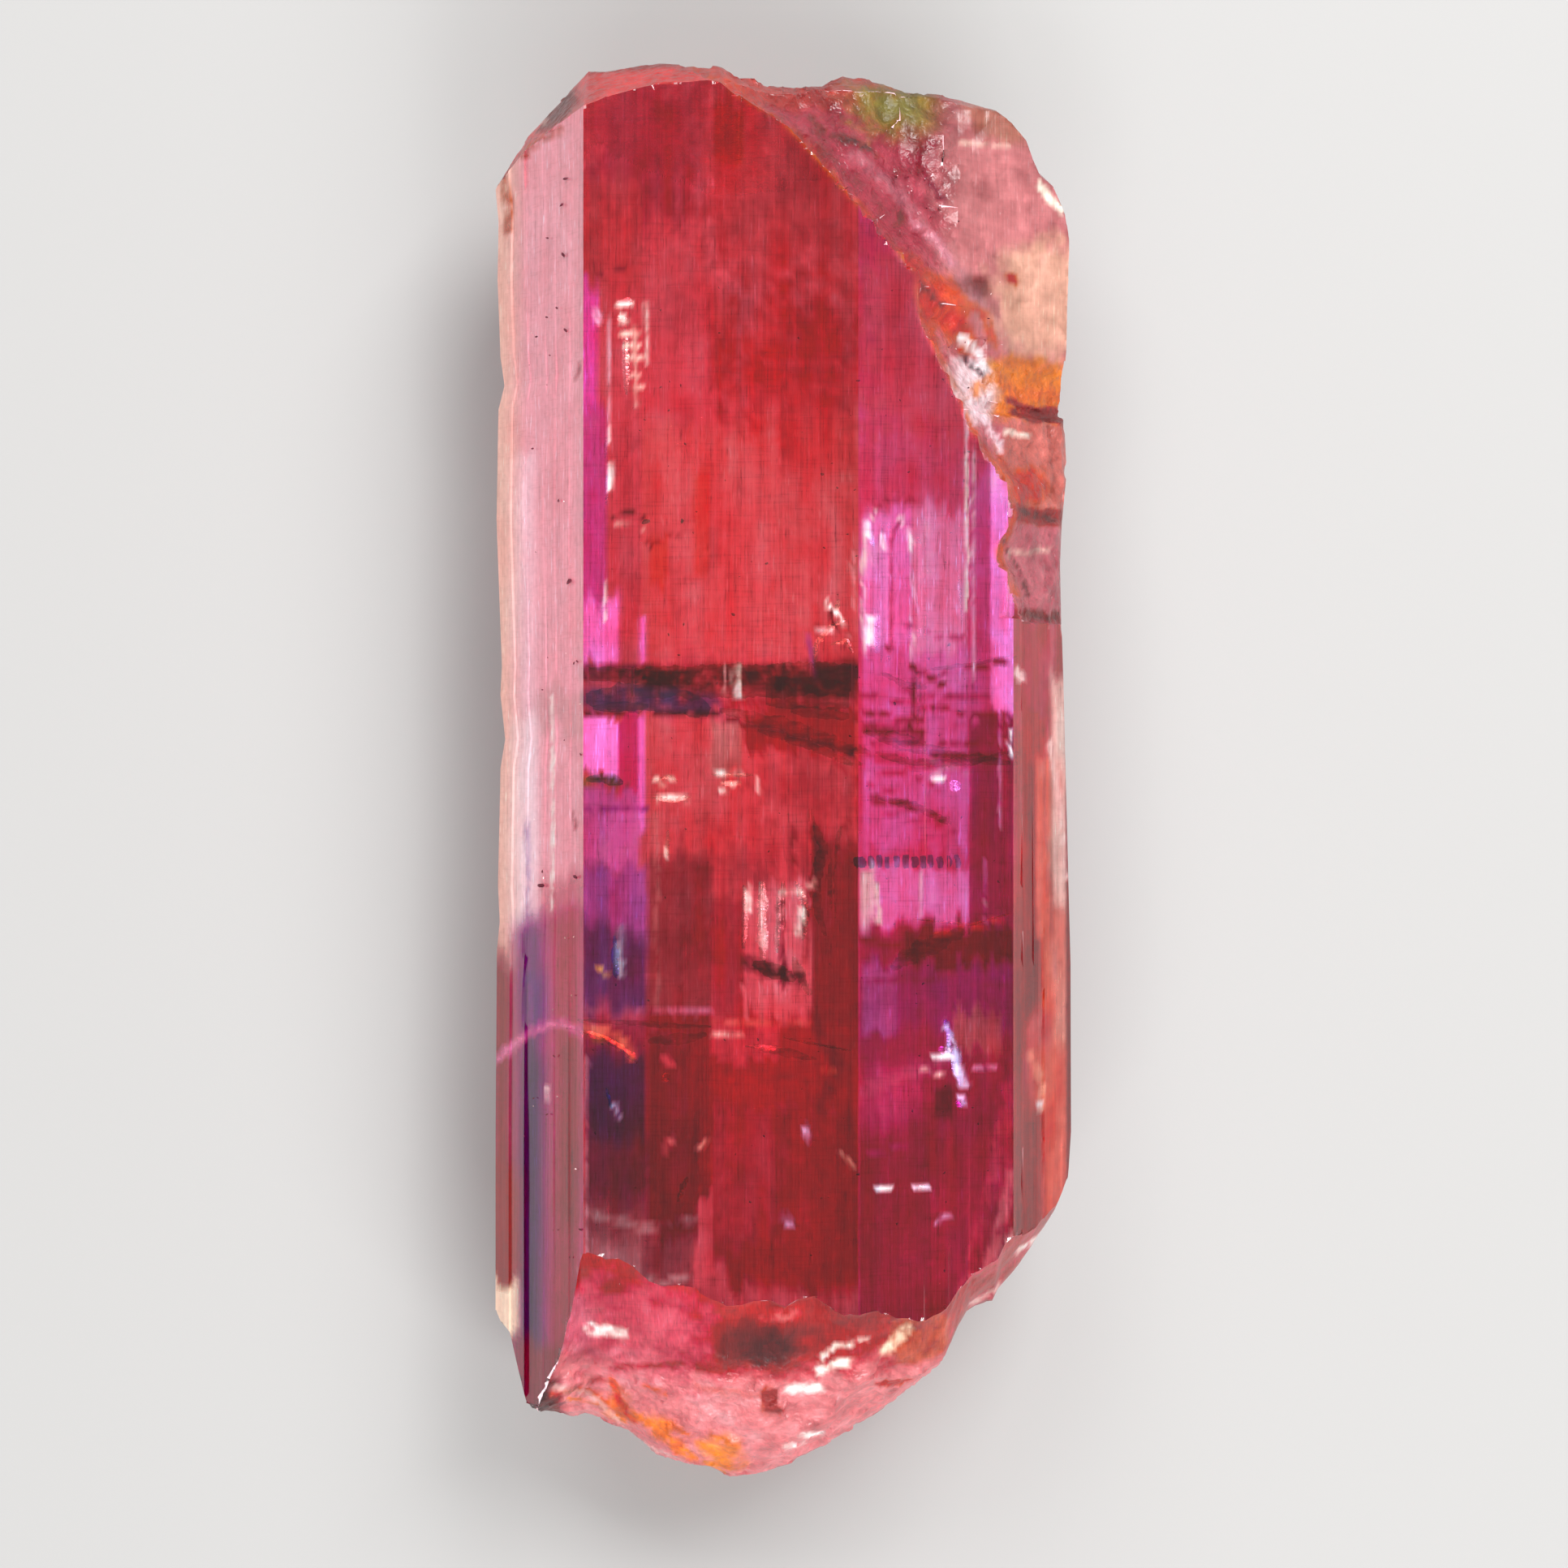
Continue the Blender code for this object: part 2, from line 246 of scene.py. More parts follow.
def uneven(at, wavelength, seed):
    """Rolling noise in three sizes, each half as long and half as high as the last."""
    sizes = [wavelength / 2**i for i in range(3)]
    return sum(rolling(at, size, seed + i) / 2**i for i, size in enumerate(sizes)) / 1.5


def hackle(at, size, seed):
    """Height from -1 to 1 of a surface broken into small flat facets, each tilted its own way."""
    cell = np.floor(at / size).astype(np.int64)
    nearest = np.full(len(at), np.inf)
    height = np.zeros(len(at))
    for offset in itertools.product((-1, 0, 1), repeat=3):
        near = cell + np.array(offset)
        stray = np.stack([hashed(near, seed + i) for i in range(3)], axis=1)
        away = at - (near + 0.5 + HACKLE_STRAY * stray) * size
        distance = np.sum(away * away, axis=1)
        tilt = np.stack([hashed(near, seed + 3 + i) for i in range(3)], axis=1)
        facet = np.sum(away * tilt, axis=1) / size + HACKLE_LIFT * hashed(near, seed + 6)
        height = np.where(distance < nearest, facet, height)
        nearest = np.minimum(nearest, distance)
    return np.clip(height, -1, 1)


def upper_z(x):
    """Height of the unbroken upper faces."""
    return np.interp(x, UPPER_X, UPPER_Z)


def chip_rim(y):
    """Place in X of the rim of the chip."""
    return np.interp(y, CHIP_RIM_Y, CHIP_RIM_X)


def window(value, low, high, soft):
    """1 between low and high, fading to 0 over a soft margin at both."""
    rise = np.clip((value - low) / soft + 0.5, 0, 1)
    fall = np.clip((high - value) / soft + 0.5, 0, 1)
    return eased(np.minimum(rise, fall))


def frosted(at):
    """1 in the smooth, frosted part of the chip."""
    return window(at[:, 0], *FROSTED_X, FROSTED_FADE) * window(at[:, 1], *FROSTED_Y, FROSTED_FADE)


def calm(at):
    """1 in the upper part of the base, 0 in the lower part."""
    return np.clip((at[:, 1] - CALM_BASE_Y) / CALM_BASE_FADE, 0, 1)


def ruggedness(kind, at):
    """How broken the surface is, from 0 on the smooth faces to 1 on the roughest."""
    amount = np.isin(kind, STAINED).astype(float)
    amount *= np.where(kind == "chip", 1 - WORN_AWAY * frosted(at), 1)
    return amount * np.where(kind == "base", 1 - WORN_AWAY * calm(at), 1)


def kinds_of_surface(centre, normal):
    """Which surface each face belongs to, from its middle in millimetres and its direction."""
    x, y, z = centre.T
    _, to_point, upwards = normal.T
    kind = np.full(len(centre), "back", dtype="<U8")
    beside = (x > RIGHT_CORNER) & (y > FAR_END_Y)
    upper = (upwards > LOOKS_UP) & ((z > upper_z(x) - UPPER_SLACK) | beside)
    corners = (-math.inf, LEFT_CORNER, RIDGE, RIGHT_CORNER, math.inf)
    for name, low, high in zip(FLAT, corners, corners[1:]):
        kind[upper & (x > low) & (x <= high)] = name
    sunk = (z < upper_z(x) - CHIP_SUNK) & (upwards > LOOKS_UP)
    chipped = (y > CHIP_END_Y) & (x > chip_rim(y) - CHIP_RIM_SLACK) & (sunk | (to_point > STEEP))
    kind[chipped] = "chip"
    kind[(y > POINT_Y) & (to_point > LEANS) & ~chipped] = "point"
    kind[(y < BASE_Y) & (to_point < -LEANS)] = "base"
    kind[(y < BASE_Y) & (kind == "back") & (upwards > LOOKS_UP)] = "base"
    return kind


def step_easing(points, kind):
    """How far each point sinks so that the growth steps of the flat faces end in gentle ramps."""
    x, y, z = points.T
    below = upper_z(x) - z
    flat = np.isin(kind, FLAT) & (x > STEP_REACH_X[0]) & (x < STEP_REACH_X[1])
    sampled = np.flatnonzero(flat & (np.abs(y - STEP_SAMPLE_Y) < STEP_SAMPLE_REACH))
    sampled = sampled[np.argsort(x[sampled])]
    grid = np.arange(*STEP_REACH_X, STEP_GRID)
    profile = np.interp(grid, x[sampled], below[sampled])
    reach = round(STEP_RAMP / 2 / STEP_GRID)
    for pick in (np.max, np.mean):
        padded = np.pad(profile, reach, mode="edge")
        profile = pick(np.lib.stride_tricks.sliding_window_view(padded, 2 * reach + 1), axis=1)
    sinking = np.interp(x, grid, profile) - below
    keep = RAMP_KEPT + (1 - RAMP_KEPT) * np.clip(2 * rolling(points, *RAMP_WAVES), -1, 1)
    return np.where(flat & (sinking > 0) & (sinking < DEEPEST_STEP), sinking * keep, 0)


def dent(bm):
    """Presses fine striations into the flat faces and small facets into the broken ones."""
    bm.normal_update()
    bm.verts.index_update()
    points = np.array([v.co[:] for v in bm.verts]) / MM
    normals = np.array([v.normal[:] for v in bm.verts])
    kind = kinds_of_surface(points, normals)
    edges = ledge_edges(bm, points, kind)
    broken = ruggedness(kind, points)
    lines = 0.5 + 0.5 * rolling(points, *STRIATION)
    flakes = sum(height * hackle(points, size, seed) for size, seed, height in HACKLE)
    flakes = (HACKLE_SUNK + flakes).clip(0)
    depth = np.where(broken > 0, broken * flakes, STRIATION_DEPTH * lines)
    depth = np.where(kind == "point", POINT_HACKLE * flakes, depth)
    moved = points - normals * depth[:, None]
    moved[:, 2] -= step_easing(points, kind)
    moved *= MM
    for vertex, place in zip(bm.verts, moved):
        vertex.co = place
    every_way = {"use_axis_x": True, "use_axis_y": True, "use_axis_z": True}
    for _ in range(WORN_TIMES):
        bmesh.ops.smooth_vert(bm, verts=edges, factor=WORN_SHARE, **every_way)


def ledge_edges(bm, points, kind):
    """The points on and near the edges of the ledges at the lower end of the chip."""
    x, y = points[:, 0], points[:, 1]
    ledge = (kind == "chip") & (x > WORN_X) & (y > WORN_Y[0]) & (y < WORN_Y[1])
    near = set()
    for edge in bm.edges:
        if all(ledge[v.index] for v in edge.verts) and edge.calc_face_angle(0.0) > WORN_ANGLE:
            near |= set(edge.verts)
    for _ in range(WORN_RINGS):
        near |= {e.other_vert(v) for v in near for e in v.link_edges}
    return list(near)


def linear(seen):
    """Linear colour of a colour given from 0 to 255, by the sRGB curve."""
    seen = np.asarray(seen) / 255
    return np.where(seen <= 0.04045, seen / 12.92, ((seen + 0.055) / 1.055) ** 2.4)


# Washes of colour over each kind of surface, in order: reach across and along the photograph, colour
# seen, how milky, how strongly it covers, and how softly it ends in millimetres.
WASHES = {
    "left": (
        ((640, 735), (850, 902), (206, 146, 154), 0.5, 0.6, 0.3),
        # These three pale pink and peach washes on the upper left face are painted light: the reflection of
        # a lamp on that side.
        ((628, 668), (566, 1140), (252, 196, 212), 0.7, 0.7, 0.4),
        ((628, 668), (886, 1130), (255, 214, 226), 0.75, 0.9, 0.5),
        ((560, 640), (0, 1190), (240, 184, 172), 0.7, 0.9, 0.9),
        ((680, 735), (1080, 1150), (190, 84, 108), 0.3, 0.7, 0.8),
        ((640, 684), (1128, 2000), (132, 40, 136), 0.12, 1.0, 0.9),
        ((682, 735), (1118, 2000), (182, 20, 112), 0.04, 1.0, 0.8),
        ((646, 680), (1190, 1260), (120, 40, 150), 0.05, 0.8, 0.8),
        ((644, 676), (1290, 1660), (104, 40, 122), 0.05, 0.9, 0.8),
        ((700, 722), (1270, 1500), (150, 10, 92), 0.02, 0.8, 0.6),
        ((600, 641), (1170, 2000), (168, 74, 90), 0.25, 1.0, 1.2),
        ((600, 641), (1440, 1580), (172, 74, 62), 0.35, 0.9, 0.9),
        ((600, 644), (1574, 1632), (255, 216, 196), 0.85, 1.0, 0.3),
        ((640, 735), (1640, 1800), (164, 24, 96), 0.04, 0.8, 0.6),
    ),
    "main": (
        ((729, 890), (130, 310), (156, 44, 58), 0.32, 0.9, 1.5),
        ((870, 1060), (130, 380), (174, 48, 56), 0.3, 0.85, 1.6),
        ((885, 918), (170, 240), (176, 46, 38), 0.03, 0.8, 0.4),
        ((729, 800), (250, 380), (196, 60, 72), 0.05, 0.7, 0.6),
        ((800, 1055), (540, 822), (222, 76, 84), 0.06, 0.8, 1.0),
        ((940, 1052), (390, 510), (170, 24, 30), 0.02, 0.8, 2.0),
        ((882, 910), (400, 490), (182, 40, 38), 0.02, 0.5, 1.2),
        ((905, 960), (430, 530), (184, 40, 40), 0.03, 0.7, 1.4),
        ((960, 1052), (496, 600), (186, 44, 50), 0.04, 0.6, 0.7),
        ((860, 880), (590, 715), (222, 58, 56), 0.04, 0.8, 0.4),
        ((809, 830), (676, 732), (218, 60, 54), 0.04, 0.8, 0.3),
        # The bright magenta of the strips along the left edge of this face is partly the crystal's own hue
        # and partly painted light: the lit floor seen through the sloping back faces.
        ((729, 747), (380, 822), (226, 70, 148), 0.16, 1.0, 0.25),
        ((729, 757), (520, 822), (216, 60, 124), 0.04, 0.9, 0.4),
        ((729, 773), (740, 822), (240, 98, 170), 0.28, 0.95, 0.4),
        ((797, 804), (768, 822), (244, 92, 172), 0.28, 1.0, 0.1),
        ((806, 1055), (886, 1060), (212, 74, 84), 0.06, 0.85, 0.3),
        ((881, 917), (886, 956), (176, 84, 88), 0.12, 0.75, 0.2),
        ((919, 1050), (880, 930), (164, 14, 24), 0.02, 0.9, 0.25),
        # More of these strips, their brightness partly painted light seen through the back faces.
        ((729, 773), (884, 958), (254, 112, 192), 0.36, 1.0, 0.08),
        ((773, 796), (884, 984), (224, 50, 102), 0.03, 1.0, 0.08),
        ((796, 804), (884, 1012), (244, 90, 165), 0.28, 1.0, 0.08),
        ((729, 796), (975, 1062), (206, 78, 140), 0.08, 1.0, 0.25),
        ((729, 806), (1062, 1140), (168, 66, 128), 0.08, 1.0, 0.4),
        ((729, 806), (1130, 1240), (112, 48, 90), 0.08, 1.0, 0.6),
        ((729, 806), (1244, 1290), (150, 40, 66), 0.05, 0.9, 0.2),
        ((732, 806), (1280, 1410), (92, 24, 76), 0.05, 1.0, 0.6),
        ((732, 806), (1390, 1480), (114, 30, 58), 0.08, 1.0, 0.8),
        ((732, 860), (1460, 1640), (140, 54, 66), 0.2, 1.0, 1.2),
        ((732, 800), (1510, 1640), (170, 92, 104), 0.35, 0.7, 1.0),
        ((806, 880), (1050, 1240), (142, 48, 56), 0.1, 0.95, 0.6),
        ((806, 866), (1258, 1370), (130, 34, 46), 0.08, 0.95, 0.3),
        ((806, 880), (1238, 1258), (142, 2, 16), 0.01, 1.0, 0.08),
        ((855, 883), (1238, 1450), (140, 4, 22), 0.01, 1.0, 0.12),
        ((806, 866), (1360, 1500), (122, 20, 42), 0.05, 0.95, 0.5),
        ((881, 1055), (1040, 1250), (178, 56, 66), 0.08, 0.85, 0.5),
        ((950, 1060), (950, 1070), (184, 54, 64), 0.06, 0.8, 1.6),
        ((881, 926), (1100, 1240), (164, 44, 58), 0.06, 0.8, 0.3),
        ((920, 1000), (1088, 1240), (226, 88, 104), 0.1, 0.7, 0.25),
        ((1000, 1055), (1030, 1300), (132, 32, 38), 0.03, 0.85, 0.5),
        ((881, 1055), (1246, 1345), (156, 16, 26), 0.03, 0.9, 0.35),
        ((881, 960), (1250, 1290), (200, 62, 76), 0.08, 0.7, 0.15),
        ((883, 1055), (1340, 1540), (148, 28, 44), 0.06, 0.95, 0.5),
        ((884, 956), (1350, 1500), (172, 48, 60), 0.08, 0.75, 0.4),
        ((1000, 1055), (1380, 1600), (138, 20, 32), 0.04, 0.6, 0.6),
        ((900, 1055), (1515, 1562), (146, 4, 28), 0.02, 0.9, 0.3),
        ((732, 1055), (1560, 1700), (164, 52, 66), 0.2, 0.8, 1.0),
    ),
    "right": (
        ((1050, 1242), (300, 590), (196, 66, 90), 0.05, 0.9, 1.4),
        ((1050, 1185), (560, 740), (206, 66, 102), 0.05, 0.7, 0.8),
        ((1120, 1185), (640, 860), (250, 104, 148), 0.16, 0.85, 0.6),
        ((1058, 1094), (650, 812), (246, 104, 168), 0.2, 0.9, 0.5),
        ((1094, 1118), (640, 806), (240, 92, 156), 0.2, 0.9, 0.5),
        ((1060, 1185), (806, 1044), (226, 78, 138), 0.1, 0.85, 0.3),
        ((1212, 1242), (540, 890), (244, 106, 180), 0.28, 1.0, 0.15),
        ((1187, 1212), (600, 900), (214, 66, 122), 0.06, 0.8, 0.2),
        ((1187, 1242), (895, 1640), (158, 18, 82), 0.01, 1.0, 0.25),
        ((1060, 1187), (1062, 1130), (232, 92, 150), 0.16, 0.9, 0.2),
        ((1058, 1075), (1064, 1165), (240, 150, 190), 0.15, 0.8, 0.2),
        ((1055, 1242), (1130, 1700), (158, 16, 76), 0.02, 1.0, 0.5),
        ((1058, 1102), (1170, 1262), (172, 70, 124), 0.1, 0.8, 0.3),
        ((1108, 1240), (1136, 1176), (122, 4, 44), 0.01, 0.95, 0.15),
        ((1100, 1240), (1180, 1260), (150, 34, 96), 0.04, 0.8, 0.4),
        ((1167, 1225), (1236, 1280), (176, 80, 86), 0.15, 0.7, 0.3),
        ((1145, 1168), (1320, 1360), (92, 10, 44), 0.02, 0.8, 0.3),
        ((1055, 1130), (1300, 1370), (186, 62, 98), 0.12, 0.6, 0.6),
        ((1055, 1160), (1380, 1600), (146, 2, 58), 0.02, 0.7, 0.6),
        ((1140, 1242), (1380, 1560), (176, 30, 70), 0.05, 0.6, 1.0),
    ),
    "far": (
        ((1235, 1345), (760, 900), (182, 86, 100), 0.3, 0.9, 0.5),
        ((1240, 1256), (900, 1640), (176, 66, 92), 0.12, 0.9, 0.3),
        ((1256, 1282), (880, 940), (184, 50, 66), 0.1, 0.8, 0.3),
        ((1256, 1272), (940, 1250), (158, 56, 70), 0.12, 0.9, 0.3),
        ((1271, 1293), (930, 1240), (226, 116, 106), 0.35, 0.9, 0.3),
        ((1292, 1345), (830, 1120), (238, 186, 180), 0.6, 0.85, 0.4),
        ((1292, 1345), (1120, 1300), (224, 130, 122), 0.45, 0.85, 0.6),
        ((1256, 1276), (1160, 1240), (150, 18, 54), 0.04, 0.9, 0.3),
        ((1270, 1345), (1290, 1500), (220, 108, 100), 0.4, 0.9, 0.7),
        ((1240, 1280), (1360, 1600), (172, 34, 66), 0.08, 0.8, 0.6),
        ((1312, 1345), (780, 1500), (150, 62, 76), 0.25, 0.9, 0.08),
        ((1276, 1345), (1500, 1600), (206, 92, 96), 0.35, 0.8, 0.5),
    ),
    "point": (
        ((560, 732), (60, 260), (206, 112, 118), 0.4, 0.9, 0.3),
        ((600, 648), (215, 285), (180, 86, 44), 0.5, 0.95, 0.25),
        ((648, 692), (184, 216), (178, 88, 60), 0.5, 0.8, 0.2),
        ((666, 720), (120, 176), (118, 14, 26), 0.04, 0.95, 0.25),
        ((729, 1000), (60, 116), (170, 20, 26), 0.06, 0.95, 0.15),
    ),
    "chip": (
        ((860, 1180), (60, 400), (184, 86, 100), 0.35, 0.9, 0.8),
        ((860, 1090), (60, 160), (188, 92, 86), 0.35, 0.8, 0.4),
        ((1055, 1160), (112, 184), (166, 128, 92), 0.7, 0.8, 1.0),
        ((1068, 1144), (124, 172), (134, 122, 48), 0.85, 0.95, 0.8),
        ((1150, 1400), (40, 470), (202, 126, 130), 0.6, 1.0, 1.1),
        ((1180, 1345), (40, 175), (192, 122, 112), 0.45, 0.8, 0.6),
        ((1225, 1345), (300, 440), (230, 172, 154), 0.7, 0.85, 0.8),
        ((1232, 1246), (338, 356), (186, 84, 30), 0.7, 1.0, 0.15),
        ((1176, 1216), (346, 374), (136, 78, 78), 0.4, 0.8, 0.2),
        ((1124, 1184), (352, 430), (194, 84, 20), 0.85, 0.8, 0.4),
        ((1200, 1400), (444, 526), (222, 128, 60), 0.75, 0.9, 0.35),
        ((1165, 1222), (450, 530), (240, 206, 214), 0.5, 0.9, 0.3),
        ((1250, 1345), (498, 522), (150, 56, 14), 0.85, 1.0, 0.12),
        ((1230, 1345), (522, 640), (204, 118, 114), 0.55, 1.0, 0.12),
        ((1238, 1292), (578, 628), (186, 80, 44), 0.55, 0.9, 0.3),
        ((1240, 1345), (630, 652), (156, 66, 20), 0.85, 1.0, 0.1),
        ((1225, 1345), (654, 768), (196, 114, 124), 0.45, 1.0, 0.12),
        ((1250, 1345), (758, 770), (130, 24, 28), 0.2, 0.9, 0.08),
    ),
    "base": (
        ((400, 1500), (1380, 1654), (168, 54, 68), 0.18, 1.0, 1.2),
        ((820, 1060), (1560, 1680), (178, 60, 74), 0.14, 0.6, 0.5),
        ((878, 990), (1606, 1662), (122, 4, 22), 0.02, 0.95, 0.5),
        ((600, 692), (1560, 1800), (128, 14, 48), 0.05, 0.95, 0.2),
        ((640, 672), (1640, 1780), (88, 20, 80), 0.05, 0.8, 0.2),
        ((672, 700), (1690, 1760), (110, 20, 56), 0.1, 0.8, 0.2),
        ((690, 740), (1570, 1640), (212, 128, 150), 0.45, 0.8, 0.4),
        ((690, 880), (1550, 1690), (204, 108, 122), 0.35, 0.75, 1.2),
        ((1180, 1345), (1480, 1640), (180, 74, 92), 0.2, 0.95, 0.6),
        ((1098, 1164), (1580, 1662), (190, 104, 92), 0.3, 0.9, 0.15),
        ((752, 776), (1702, 1744), (210, 108, 34), 0.85, 0.9, 0.4),
        ((802, 832), (1738, 1768), (226, 124, 30), 0.85, 0.9, 0.4),
        ((830, 850), (1768, 1790), (212, 104, 28), 0.85, 0.8, 0.3),
        ((872, 916), (1764, 1812), (224, 134, 56), 0.8, 0.7, 0.6),
        ((940, 962), (1688, 1728), (146, 62, 22), 0.8, 1.0, 0.1),
        ((1080, 1124), (1685, 1699), (188, 82, 34), 0.8, 1.0, 0.08),
    ),
    "back": (),
}
